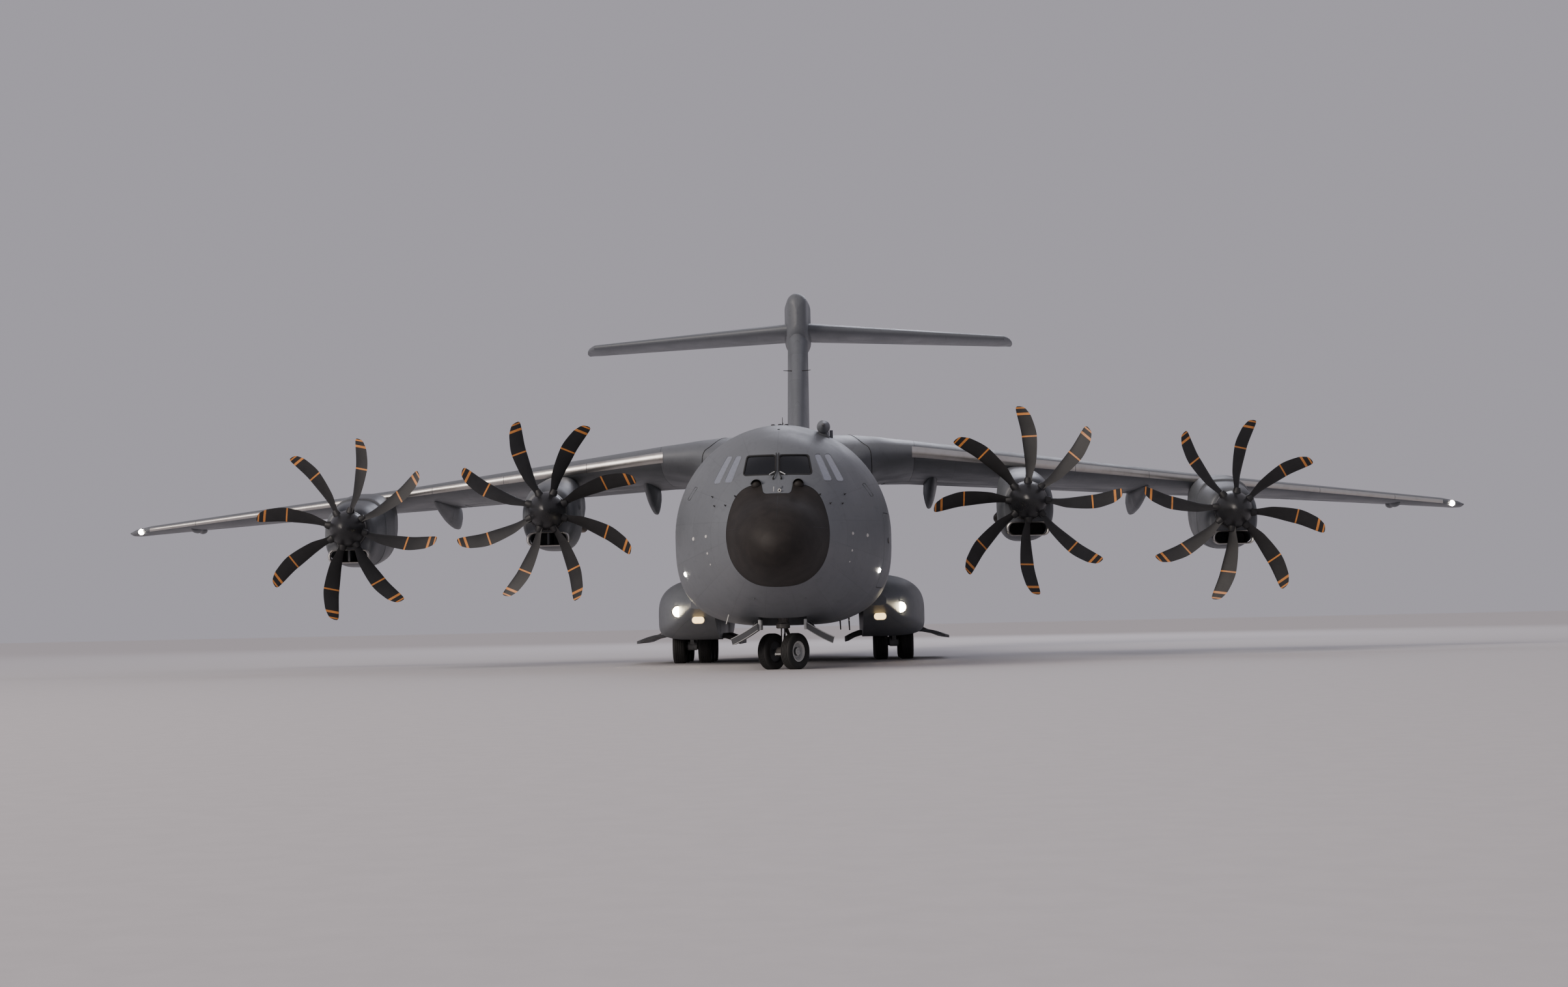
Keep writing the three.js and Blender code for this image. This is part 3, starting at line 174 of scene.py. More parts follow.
def rounded(corners, radius, steps=6):
    """Closed outline whose corners are arcs that touch both of their sides: each arc's centre lies on the
    corner's bisector, at radius / sin(half the corner's angle)."""
    p = np.asarray(corners, float)
    u, v = unit(np.roll(p, 1, 0) - p), unit(np.roll(p, -1, 0) - p)
    half = np.arccos(np.clip((u * v).sum(1), -1, 1)) / 2
    radius = np.broadcast_to(radius, len(p)).astype(float)
    centre = p + unit(u + v) * (radius / np.sin(half))[:, None]
    first, last = [p + d * (radius / np.tan(half))[:, None] - centre for d in (u, v)]
    a0 = np.arctan2(first[:, 1], first[:, 0])
    sweep = (np.arctan2(last[:, 1], last[:, 0]) - a0 + math.pi) % TAU - math.pi
    a = a0[:, None] + sweep[:, None] * np.linspace(0, 1, steps)
    arcs = centre[:, None] + radius[:, None, None] * np.stack([np.cos(a), np.sin(a)], -1)
    return arcs.reshape(-1, 2)


def oval_body(x, s, z, half, tall, count):
    """A closed body of upright ovals: centres x and z, half widths and heights at stations."""
    a = circle(count)
    return skin(xyz(x + half * np.cos(a), s, z + tall * np.sin(a)))


def rectangle(x0, z0, x1, z1):
    return [[x0, z0], [x1, z0], [x1, z1], [x0, z1]]


def filled(outline, step):
    """The outline with extra points, evenly spread, on every side longer than the step."""
    ahead = np.roll(outline, -1, 0)
    counts = np.ceil(np.linalg.norm(ahead - outline, axis=1) / step).astype(int)
    sides = zip(outline, ahead, counts)
    return np.concatenate([a + (b - a) * np.arange(k)[:, None] / k for a, b, k in sides])


def prism(outline, low, high, place, bevel=0.0):
    """A flat outline (k, 2) carried between two depths, its rims drawn in by the bevel; place(a, b, depth)
    puts each point in space."""
    o = np.asarray(outline, float)
    middle = o.mean(0)
    inner = middle + (o - middle) * (1 - bevel / np.abs(o - middle).max())
    rows = [(o, low + bevel), (o, high - bevel)]
    if bevel:
        rows = [(inner, low), *rows, (inner, high)]
    return skin(np.stack([np.stack(place(r[:, 0], r[:, 1], np.full(len(r), d)), -1) for r, d in rows]))


def side_place(s, z, x):
    return x, s, z


def plan_place(x, s, z):
    return x, s, z


def front_place(x, z, s):
    return x, s, z


def block(low, high, bevel=0.0):
    """Box between two corners with drawn-in rims at its top and bottom."""
    (x0, s0, z0), (x1, s1, z1) = low, high
    corners = rectangle(x0, s0, x1, s1)
    return prism(rounded(corners, bevel, 3) if bevel else corners, z0, z1, plan_place, bevel=bevel)


def across(skins):
    """The same skins on the other side of the plane."""
    return [outward(p * [-1, 1, 1], f, t) for p, f, t in skins]


def moved(skins, turn=None, shift=(0, 0, 0)):
    """Skins turned by a 3 x 3 matrix and then shifted."""
    turn = np.eye(3) if turn is None else turn
    return [(p @ turn.T + np.asarray(shift, float), f, t) for p, f, t in skins]


def about(axis, degrees):
    return np.array(Matrix.Rotation(math.radians(degrees), 3, Vector(axis)))


# Pieces: mesh objects that ride on the frame's bodies


def placed(name, data):
    """A new object in the scene."""
    obj = bpy.data.objects.new(name, data)
    bpy.context.scene.collection.objects.link(obj)
    return obj


def mesh_object(name, skins, finishes=()):
    """One mesh of several skins, whose tones are the numbers of its finishes."""
    points, faces, tones, start = [], [], [], 0
    for p, fs, ts in skins:
        points.append(p)
        for f, t in zip(fs, ts):
            faces.extend((f + start).tolist())
            tones.append(np.broadcast_to(t, len(f)))
        start += len(p)
    mesh = bpy.data.meshes.new(name)
    mesh.from_pydata(model(np.vstack(points)).tolist(), [], faces)
    mesh.polygons.foreach_set("material_index", np.concatenate(tones).astype(np.int32))
    for finish in finishes:
        mesh.materials.append(finish)
    mesh.update()
    return placed(name, mesh)


def carve(obj, cuts):
    """Exact booleans between the piece and its cutting tools, which are then removed."""
    if not cuts:
        return
    for tool, operation in cuts:
        modifier = obj.modifiers.new("cut", "BOOLEAN")
        modifier.operation, modifier.solver, modifier.object = operation, "EXACT", tool
    graph = bpy.context.evaluated_depsgraph_get()
    mesh = bpy.data.meshes.new_from_object(obj.evaluated_get(graph))
    obj.modifiers.clear()
    obj.data = mesh
    for tool, _ in cuts:
        bpy.data.objects.remove(tool)


def tools(spaces, operation):
    """Cutting tools, one for each space, which is a skin or a list of skins."""
    return [(mesh_object("cutter", s if isinstance(s, list) else [s]), operation) for s in spaces]


def less(*spaces):
    return tools(spaces, "DIFFERENCE")


def within(*spaces):
    return tools(spaces, "INTERSECT")


def piece(name, skins, finishes, body="root", nodes=(), cuts=(), sharp=32):
    """One finished piece: joined, carved, shaded smooth up to an edge angle, and riding a body."""
    finishes = finishes if isinstance(finishes, (list, tuple)) else [finishes]
    obj = mesh_object(name, skins, finishes)
    carve(obj, cuts)
    obj.data.shade_smooth()
    obj.data.set_sharp_from_angle(angle=math.radians(sharp))
    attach(obj, body)
    if nodes:
        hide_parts(*nodes)
    return obj


def both(name, skins, finishes, nodes=(), body=None, cuts=(), sharp=32):
    """The port piece and its mirror, each less the spaces in cuts, which are mirrored with it."""
    for side, way in (("port", list), ("starboard", across)):
        piece(f"{name}_{side}", way(skins), finishes, f"{body}_{side}" if body else "root",
              [f"{n}_{side}" for n in nodes], less(*way(cuts)), sharp)


# The plane's forms


def blend(table, place):
    """Values between a table's rows: cubic Hermite with harmonic-mean slopes, so nothing overshoots."""
    table = np.asarray(table, float)
    s, v = table[:, 0], table[:, 1:]
    rise = np.diff(v, axis=0) / np.diff(s)[:, None]
    before, after = rise[:-1], rise[1:]
    total = np.where(before + after == 0, 1, before + after)
    inner = np.where(before * after > 0, 2 * before * after / total, 0)
    slope = np.vstack([rise[:1], inner, rise[-1:]])
    place = np.clip(np.asarray(place, float), s[0], s[-1])
    i = np.clip(np.searchsorted(s, place, side="right") - 1, 0, len(s) - 2)
    h = (s[i + 1] - s[i])[..., None]
    t = (place - s[i])[..., None] / h
    return ((2 * t**3 - 3 * t**2 + 1) * v[i] + (t**3 - 2 * t**2 + t) * h * slope[i]
            + (3 * t**2 - 2 * t**3) * v[i + 1] + (t**3 - t**2) * h * slope[i + 1])


# Fuselage: station, top, bottom, half width, height of the widest point, power of the lower half
HULL = np.array([
    [0.1, 3.28, 2.66, 0.36, 2.97, 2.0], [0.35, 3.56, 2.42, 0.64, 3.0, 2.0],
    [0.9, 3.92, 2.17, 0.94, 3.08, 2.0], [1.7, 4.24, 1.96, 1.22, 3.18, 2.05],
    [2.3, 4.66, 1.75, 1.47, 3.24, 2.1], [3.0, 5.26, 1.54, 1.74, 3.3, 2.2],
    [4.0, 5.78, 1.33, 2.12, 3.36, 2.4], [5.2, 6.1, 1.16, 2.52, 3.4, 2.7], [6.4, 6.25, 1.1, 2.76, 3.42, 2.9],
    [7.4, 6.27, 1.09, 2.82, 3.42, 3.0], [25.6, 6.27, 1.09, 2.82, 3.42, 3.0],
    [28.0, 6.27, 1.42, 2.74, 3.6, 2.8], [31.5, 6.27, 2.3, 2.42, 4.1, 2.6],
    [35.0, 6.24, 3.28, 1.86, 4.7, 2.4], [38.5, 6.15, 4.2, 1.14, 5.2, 2.1], [41.0, 6.0, 4.86, 0.5, 5.45, 2.0],
    [41.9, 5.75, 5.15, 0.2, 5.45, 2.0],
])
NOSE_TIP = np.array([0, 0, 2.95])
FLOOR = 1.9


def columns(table, places):
    """A table's blended values at places, as a column (n, 1) for each quantity."""
    return [v[:, None] for v in np.moveaxis(blend(table, places), -1, 0)]


def hull_row(s):
    """Section sizes at stations, which shrink with the station's root ahead of the first row."""
    s = np.asarray(s, float)
    top, bottom, half, widest, power = np.moveaxis(blend(HULL, s), -1, 0)
    f = np.sqrt(np.clip(s / HULL[0, 0], 0, 1))
    tip = NOSE_TIP[2]
    return *[tip + (v - tip) * f for v in (top, bottom)], half * f, tip + (widest - tip) * f, power


def hull(s, angle, inset=0.0):
    """Superellipse section: x is half * |cos|^(2/p), and z is the widest height plus reach * |sin|^(2/p),
    with p 2 above the widest height and the table's power below it."""
    s, angle = np.broadcast_arrays(np.asarray(s, float), angle)
    top, bottom, half, widest, power = hull_row(s)
    c, n = np.cos(angle), np.sin(angle)
    p = np.where(n >= 0, 2.0, power)
    x = np.sign(c) * np.abs(c) ** (2 / p) * (half - inset)
    reach = np.where(n >= 0, top - inset - widest, widest - bottom - inset)
    return np.stack([x, s, widest + np.sign(n) * np.abs(n) ** (2 / p) * reach], -1)


RING = 112


def hull_rings(stations, inset=0.0):
    return hull(np.asarray(stations, float)[:, None], circle(RING)[None], inset)


def half_width(s, z):
    """Half the fuselage's width at a station and height, from the same superellipse."""
    top, bottom, half, widest, power = hull_row(s)
    z = np.asarray(z, float)
    p = np.where(z >= widest, 2.0, power)
    reach = np.where(z >= widest, top - widest, widest - bottom)
    return half * np.maximum(0, 1 - np.abs((z - widest) / reach) ** p) ** (1 / p)


def hull_slice(stations, low, high, inset, rows=14):
    """Closed skin of the fuselage's inside between two heights: at each station the half width is sampled at
    even heights, up one side and down the other."""
    s = np.asarray(stations, float)[:, None]
    top = hull_row(s)[0] - inset - 0.01
    z = low + (np.minimum(high, top) - low) * np.linspace(0, 1, rows)
    right = xyz(np.maximum(half_width(s, z) - inset, 0.02), s, z)
    return slab(right, right * [-1, 1, 1])


def hull_frames(stations, half, outer, inner):
    """Rings of square section round the inside of the fuselage's skin, one at each station."""
    corners = ((-half, outer), (-half, inner), (half, inner), (half, outer))
    return [loop_skin(np.stack([hull_rings([s + d], inset)[0] for d, inset in corners])) for s in stations]


def on_nose(x, z, lift=0.0):
    """The nose skin's points at front-view places, found by halving the span of stations, and raised along
    the normal by lift."""
    x, z = np.broadcast_arrays(np.asarray(x, float), np.asarray(z, float))

    def station(x, z):
        near, far = np.full(x.shape, 0.02), np.full(x.shape, 7.4)
        for _ in range(36):
            middle = (near + far) / 2
            inside = half_width(middle, z) < np.abs(x)
            near, far = np.where(inside, middle, near), np.where(inside, far, middle)
        return (near + far) / 2

    e = 0.01
    s = station(x, z)
    slope_x = (station(x + e, z) - station(x - e, z)) / (2 * e)
    slope_z = (station(x, z + e) - station(x, z - e)) / (2 * e)
    normal = unit(xyz(slope_x, -1.0, slope_z))
    return xyz(x, s, z) + normal * lift, normal


def on_hull(s, angle, lift=0.0):
    """Fuselage skin points by station and angle, and their normals from differences."""
    e = 1e-3
    p = hull(s, angle)
    normal = unit(np.cross(hull(s, angle + e) - p, hull(np.asarray(s) + e, angle) - p))
    outwards = np.sign((normal * (p - [0, 0, 3.6]) * [1, 0, 1]).sum(-1, keepdims=True))
    normal = normal * np.where(outwards == 0, 1, outwards)
    return p + normal * lift, normal


# Finishes: node groups and the materials that use them


class Tree:
    """A node tree with short calls for its nodes and links."""

    def __init__(self, tree):
        self.tree = tree

    def node(self, kind, inputs=(), **settings):
        node = self.tree.nodes.new(kind)
        for key, value in settings.items():
            setattr(node, key, value)
        for key, value in dict(inputs).items():
            if isinstance(value, bpy.types.NodeSocket):
                self.tree.links.new(value, node.inputs[key])
            else:
                node.inputs[key].default_value = value
        return node

    def math(self, operation, a, b=0.0, c=0.0):
        return self.node("ShaderNodeMath", {0: a, 1: b, 2: c}, operation=operation).outputs[0]

    def times(self, a, b):
        return self.math("MULTIPLY", a, b)

    def less(self, a, b):
        return self.math("SUBTRACT", a, b)

    def split(self, vector):
        return self.node("ShaderNodeSeparateXYZ", {0: vector}).outputs

    def ramp(self, value, low, high, to_low=0.0, to_high=1.0, kind="SMOOTHSTEP"):
        inputs = {0: value, 1: low, 2: high, 3: to_low, 4: to_high}
        return self.node("ShaderNodeMapRange", inputs, interpolation_type=kind).outputs[0]

    def mix(self, factor, a, b):
        return self.node("ShaderNodeMix", {0: factor, 6: a, 7: b}, data_type="RGBA").outputs[2]

    def noise(self, vector, scale, detail=3.0, rough=0.55):
        inputs = {"Vector": vector, "Scale": scale, "Detail": detail, "Roughness": rough}
        return self.node("ShaderNodeTexNoise", inputs).outputs["Fac"]

    def stretch(self, vector, scale):
        return self.node("ShaderNodeMapping", {"Vector": vector, "Scale": scale}).outputs[0]

    def use(self, group, inputs):
        return self.node("ShaderNodeGroup", inputs, node_tree=group).outputs


def new_group(name, inputs, outputs, build):
    """A shader node group with named sockets: inputs (name, kind, default) and outputs (name, kind)."""
    group = bpy.data.node_groups.new(name, "ShaderNodeTree")
    for label, kind, value in inputs:
        made = group.interface.new_socket(label, in_out="INPUT", socket_type=f"NodeSocket{kind}")
        if value is not None:
            made.default_value = value
    for label, kind in outputs:
        group.interface.new_socket(label, in_out="OUTPUT", socket_type=f"NodeSocket{kind}")
    t = Tree(group)
    source = t.node("NodeGroupInput").outputs
    sink = t.node("NodeGroupOutput")
    for label, value in build(t, source).items():
        group.links.new(value, sink.inputs[label])
    return group


def seam_masks(t, along, across_, pitch_a, pitch_b, line):
    """Lines where either coordinate passes a multiple of its pitch, a tone for each panel between them, and
    rows of fasteners beside the lines."""
    def border(value, pitch):
        cell = t.math("DIVIDE", value, pitch)
        inside = t.math("ABSOLUTE", t.less(t.math("FRACT", cell), 0.5))
        return t.math("FLOOR", cell), t.times(t.less(0.5, inside), pitch)

    def row(near, value):
        dots = t.math("LESS_THAN", t.math("PINGPONG", value, 0.014), 0.004)
        return t.times(t.math("COMPARE", near, 0.013, 0.0022), dots)

    cell_a, near_a = border(along, pitch_a)
    cell_b, near_b = border(across_, pitch_b)
    seam = t.ramp(t.math("MINIMUM", near_a, near_b), t.times(line, 0.45), line, 1.0, 0.0)
    cells = t.node("ShaderNodeCombineXYZ", {0: cell_a, 1: cell_b}).outputs[0]
    tone = t.node("ShaderNodeTexWhiteNoise", {"Vector": cells}, noise_dimensions="2D").outputs["Value"]
    fasteners = t.math("MAXIMUM", row(near_a, across_), row(near_b, along))
    return {"Seam": seam, "Tone": tone, "Fasteners": fasteners}


SEAM_INPUTS = (("Position", "Vector", None), ("Along", "Float", 0.7), ("Across", "Float", 0.5),
               ("Line", "Float", 0.004))
SEAM_OUTPUTS = (("Seam", "Float"), ("Tone", "Float"), ("Fasteners", "Float"))


def seam_group(name, lines):
    """A group of seam masks; lines(t, x, y, z) gives the two coordinates that the panels run along."""
    def build(t, source):
        ways = lines(t, *t.split(source["Position"]))
        return seam_masks(t, *ways, source["Along"], source["Across"], source["Line"])
    return new_group(name, SEAM_INPUTS, SEAM_OUTPUTS, build)


def girth_seams(t, x, y, z):
    return y, t.times(t.math("ARCTAN2", x, t.less(z, 1.72)), 1.41)


def span_seams(t, x, y, z):
    out = t.math("ABSOLUTE", x)
    return out, t.less(y, t.times(out, 0.2))


def height_seams(t, x, y, z):
    return z, t.less(y, t.times(z, 0.6))


hull_seams = seam_group("fuselage_panel_seams", girth_seams)
wing_seams = seam_group("wing_panel_seams", span_seams)
fin_seams = seam_group("fin_panel_seams", height_seams)


def weathering_nodes(t, source):
    """Broad fading from slow noise, streaks from noise drawn out along the airflow and down the sides, and
    the paint's fine grain."""
    p = source["Position"]
    fade = t.ramp(t.noise(p, source["Scale"], 5.0, 0.6), 0.3, 0.72)
    flow = t.ramp(t.noise(t.stretch(p, (9.0, 0.55, 9.0)), 1.7, 5.0, 0.6), 0.5, 0.8)
    drips = t.ramp(t.noise(t.stretch(p, (7.0, 7.0, 0.5)), 2.3, 4.0, 0.6), 0.55, 0.82)
    grain = t.noise(p, 260.0, 2.0, 0.7)
    return {"Fade": fade, "Streaks": t.math("MAXIMUM", flow, drips), "Grain": grain}


weathering = new_group("paint_weathering", (("Position", "Vector", None), ("Scale", "Float", 1.4)),
                       (("Fade", "Float"), ("Streaks", "Float"), ("Grain", "Float")), weathering_nodes)


def brushed_nodes(t, source):
    """Fine scratches along one axis: noise drawn out strongly, in two sizes."""
    p = t.stretch(source["Position"], (3.0, 90.0, 90.0))
    fine = t.noise(p, 9.0, 4.0, 0.7)
    stains = t.noise(source["Position"], 4.0, 5.0, 0.65)
    return {"Scratches": fine, "Stains": t.ramp(stains, 0.4, 0.7)}


brushed = new_group("brushed_scratches", (("Position", "Vector", None),),
                    (("Scratches", "Float"), ("Stains", "Float")), brushed_nodes)


def soot_nodes(t, source):
    """Exhaust soot that thickens behind a station, broken up by drawn-out noise."""
    ramp = t.ramp(t.less(t.split(source["Position"])[1], source["Start"]), 0.0, 1.6)
    broken = t.ramp(t.noise(t.stretch(source["Position"], (6.0, 0.8, 6.0)), 2.0, 5.0, 0.65), 0.3, 0.75)
    return {"Soot": t.times(ramp, broken)}


soot = new_group("exhaust_soot", (("Position", "Vector", None), ("Start", "Float", 0.0)),
                 (("Soot", "Float"),), soot_nodes)


def material(name, build):
    """A material whose build function returns the Principled shader's inputs."""
    made = bpy.data.materials.new(name)
    made.use_nodes = True
    made.node_tree.nodes.clear()
    t = Tree(made.node_tree)
    position = t.node("ShaderNodeTexCoord").outputs["Object"]
    shader = t.node("ShaderNodeBsdfPrincipled", build(t, position))
    t.node("ShaderNodeOutputMaterial", {"Surface": shader.outputs[0]})
    return made


def bump(t, height, distance=0.001, strength=0.5):
    return t.node("ShaderNodeBump", {"Strength": strength, "Distance": distance, "Height": height}).outputs[0]


def shade(color, share=1.0):
    """A colour made darker or lighter, with its alpha."""
    return tuple(c * share for c in color) + (1,)


def paint(name, color, rough=0.5, seams=None, along=0.7, around=0.5, worn=1.0, soot_start=None, scale=1.4):
    """Satin paint: panels of slightly different tone between dark joints, faded and streaked."""
    def build(t, p):
        dark = shade(color, 0.62)
        w = t.use(weathering, {"Position": p, "Scale": scale})
        tint = t.mix(t.times(w["Fade"], 0.4 * worn), shade(color), shade(color, 1.22))
        tint = t.mix(t.times(w["Streaks"], 0.38 * worn), tint, dark)
        height = t.times(w["Grain"], 0.12)
        roughness = t.ramp(w["Fade"], 0.0, 1.0, rough - 0.06, rough + 0.1, "LINEAR")
        if seams:
            s = t.use(seams, {"Position": p, "Along": along, "Across": around, "Line": 0.0045})
            tint = t.mix(t.times(s["Tone"], 0.14), tint, dark)
            tint = t.mix(t.times(s["Seam"], 0.32), tint, shade(color, 0.4))
            tint = t.mix(t.times(s["Fasteners"], 0.2), tint, dark)
            height = t.less(height, t.math("ADD", t.times(s["Seam"], 0.5), t.times(s["Fasteners"], 0.2)))
        if soot_start is not None:
            s = t.use(soot, {"Position": p, "Start": soot_start})
            tint = t.mix(t.times(s["Soot"], 0.75), tint, (0.02, 0.019, 0.018, 1))
        return {"Base Color": tint, "Roughness": roughness, "Normal": bump(t, height, 0.002),
                "Specular IOR Level": 0.45}
    return material(name, build)


def metal(name, color, rough, stain, amount):
    """Brushed or polished metal with fine scratches and a few stains."""
    def build(t, p):
        b = t.use(brushed, {"Position": p})
        tint = t.mix(t.times(b["Stains"], amount), shade(color), shade(stain))
        roughness = t.ramp(b["Scratches"], 0.2, 0.8, rough - 0.06, rough + 0.12, "LINEAR")
        return {"Base Color": tint, "Metallic": 1.0, "Roughness": roughness,
                "Normal": bump(t, b["Scratches"], 0.0004)}
    return material(name, build)


def plain(name, color, rough, grain=220.0, mottle=0.3, height=0.0006, **extra):
    """A cast or moulded finish: one colour mottled by noise, with a grain."""
    def build(t, p):
        slow, fine = t.noise(p, 7.0, 4.0), t.noise(p, grain, 2.0)
        tint = t.mix(t.ramp(slow, 0.3, 0.7), shade(color), shade(color, 1 - mottle))
        roughness = t.ramp(fine, 0.2, 0.8, rough - 0.05, rough + 0.08, "LINEAR")
        return {"Base Color": tint, "Roughness": roughness, "Normal": bump(t, fine, height), **extra}
    return material(name, build)


def glass(name, color, alpha, rough=0.04, metallic=0.0, coat=1.0, gloss=0.5):
    """Glass whose colour is painted light: painted shade on the windscreen, a painted sky reflection on the
    side windows; faint smears in its gloss.
    """
    def build(t, p):
        smears = t.noise(t.stretch(p, (3, 3, 9)), 6.0, 4.0)
        tint = t.mix(t.ramp(smears, 0.3, 0.8), shade(color), shade(color, 1.25))
        return {"Base Color": tint, "Roughness": t.ramp(smears, 0.35, 0.75, rough, rough + 0.05, "LINEAR"),
                "Alpha": alpha, "Metallic": metallic, "Specular IOR Level": gloss, "Coat Weight": coat,
                "Coat Roughness": 0.03}
    return material(name, build)


def lamp(name, color, strength):
    """A lit lamp, its light faintly striped by the moulding of its lens."""
    def build(t, p):
        ribs = t.node("ShaderNodeTexWave", {"Vector": p, "Scale": 40.0}).outputs["Fac"]
        tint = t.mix(t.times(ribs, 0.25), shade(color), shade(color, 0.7))
        return {"Base Color": tint, "Emission Color": tint, "Emission Strength": strength, "Roughness": 0.2}
    return material(name, build)


GREY = (0.125, 0.135, 0.148)
hull_paint = paint("fuselage_grey_paint", GREY, 0.46, hull_seams, 0.66, 0.52)
wing_paint = paint("wing_grey_paint", tuple(c * 0.96 for c in GREY), 0.47, wing_seams, 0.62, 0.42)
fin_paint = paint("fin_grey_paint", tuple(c * 0.98 for c in GREY), 0.47, fin_seams, 0.6, 0.5)
SOOT_START = -3.6  # in the frame's metres
nacelle_paint = paint("nacelle_grey_paint", tuple(c * 0.85 for c in GREY), 0.45, wing_seams, 0.9, 0.46, 1.2,
                      SOOT_START)
smooth_wing = paint("fairing_grey_paint", tuple(c * 0.96 for c in GREY), 0.46, worn=1.1)
plain_grey = paint("door_grey_paint", GREY, 0.48, worn=1.2, scale=3.0)
dark_grey = paint("dark_grey_paint", (0.06, 0.063, 0.068), 0.5, worn=0.9, scale=3.0)
inside_paint = paint("bay_lining_paint", (0.24, 0.25, 0.24), 0.6, worn=1.3, scale=4.0)
radome_paint = plain("radome_dark_coating", (0.021, 0.0175, 0.0155), 0.62, 160.0, 0.35, 0.0005,
                     **{"Specular IOR Level": 0.3})
edge_metal = metal("leading_edge_bare_metal", (0.6, 0.585, 0.56), 0.33, (0.33, 0.3, 0.27), 0.35)
blade_black = plain("propeller_blade_coating", (0.011, 0.011, 0.012), 0.55, 150.0, 0.4)
stripe_orange = plain("blade_tip_orange_paint", (0.62, 0.235, 0.05), 0.42, 150.0, 0.25)
spinner_dark = paint("spinner_dark_paint", (0.014, 0.0145, 0.016), 0.3, worn=1.0, scale=5.0)
rubber = plain("tyre_black_rubber", (0.018, 0.0175, 0.017), 0.72, 90.0, 0.35, 0.0014)
gear_grey = paint("gear_pale_paint", (0.4, 0.41, 0.41), 0.42, worn=1.3, scale=9.0)
leg_dark = paint("gear_leg_dark_paint", (0.11, 0.105, 0.1), 0.4, worn=1.3, scale=9.0)
rim_pale = paint("wheel_rim_pale_paint", (0.6, 0.6, 0.58), 0.4, worn=1.0, scale=9.0)
chrome = metal("strut_chrome", (0.78, 0.78, 0.8), 0.1, (0.4, 0.38, 0.36), 0.2)
steel = metal("hinge_steel", (0.36, 0.355, 0.35), 0.38, (0.12, 0.09, 0.07), 0.5)
hot_metal = metal("exhaust_heat_stained_metal", (0.3, 0.24, 0.19), 0.36, (0.06, 0.05, 0.06), 0.7)
# The windscreen's near-black colour is painted shade: it stands in for the dark cockpit behind the glass.
shade_painted_windscreen_glass = glass("windscreen_glass_painted_shade", (0.006, 0.007, 0.009), 0.88, 0.05, coat=0.15, gloss=0.3)
# The side windows' pale silvery colour is a painted sky reflection on clear glass.
reflection_painted_glass = glass("side_window_glass_painted_reflection", (0.3, 0.325, 0.375), 0.94, 0.09, 0.6)
seal = plain("window_black_seal", (0.012, 0.012, 0.012), 0.6)
aerial = plain("aerial_black_plastic", (0.02, 0.02, 0.021), 0.5)
white_spot = plain("port_white_enamel", (0.62, 0.61, 0.58), 0.35, 200.0, 0.2)
deck_black = plain("deck_grip_coating", (0.035, 0.037, 0.04), 0.82, 60.0, 0.35, 0.003)
landing_glow = lamp("landing_lamp_glow", (1.0, 0.86, 0.58), 90.0)
warm_glow = lamp("taxi_lamp_amber_glow", (1.0, 0.7, 0.32), 3.2)
white_glow = lamp("tip_lamp_white_glow", (1.0, 0.93, 0.8), 30.0)
screen_glow = lamp("instrument_screen_glow", (0.1, 0.32, 0.3), 1.2)


# Nose, radome and cockpit

NOSE_END = 7.0
SPLIT = 0.004  # half the joint between two lengths of the fuselage
CLEAR = 0.014  # the gap round what moves
# Parameter, x and z of the radome edge's port half from under the chin to the tongue
RADOME_EDGE = np.array([
    [0, 0, 2.0], [0.44, 0.44, 2.05], [0.75, 0.72, 2.18], [1.05, 0.95, 2.38], [1.37, 1.11, 2.65],
    [1.65, 1.19, 2.92], [1.9, 1.22, 3.17], [2.15, 1.213, 3.42], [2.39, 1.178, 3.66], [2.6, 1.125, 3.86],
    [2.79, 1.06, 4.04], [3.0, 0.955, 4.22], [3.18, 0.83, 4.36], [3.35, 0.66, 4.43], [3.7, 0.3, 4.45],
    [4.0, 0, 4.45],
])
RADOME_BACK = 2.45


def radome_space(gap=0.0):
    """The space within the radome's edge as seen from the front, widened by the gap. The edge is smoothed by
    keeping only its first harmonics."""
    half = blend(RADOME_EDGE, np.linspace(0, RADOME_EDGE[-1, 0], 61))
    loop = np.concatenate([half, half[-2:0:-1] * [-1, 1]])
    waves = np.fft.fft(loop[:, 0] + 1j * loop[:, 1])
    waves[9:-8] = 0
    smooth = np.fft.ifft(waves)
    loop = np.stack([smooth.real, smooth.imag], -1)
    return prism(loop + unit(loop - [0, 3.2]) * gap, -1, RADOME_BACK + gap, front_place)


TONGUE = [[-0.325, 4.21], [0.325, 4.21], [0.67, 6.0], [-0.67, 6.0]]
SENSORS = {"x": 0.5, "z": 4.44, "front": 2.13, "radius": 0.12, "cowl": 0.15}


def tongue(gap):
    corners = np.array(TONGUE) + np.array([[-gap, -gap], [gap, -gap], [gap, 0], [-gap, 0]])
    return prism(rounded(corners, [0.09, 0.09, 0.02, 0.02]), 1.4, 4.0, front_place)


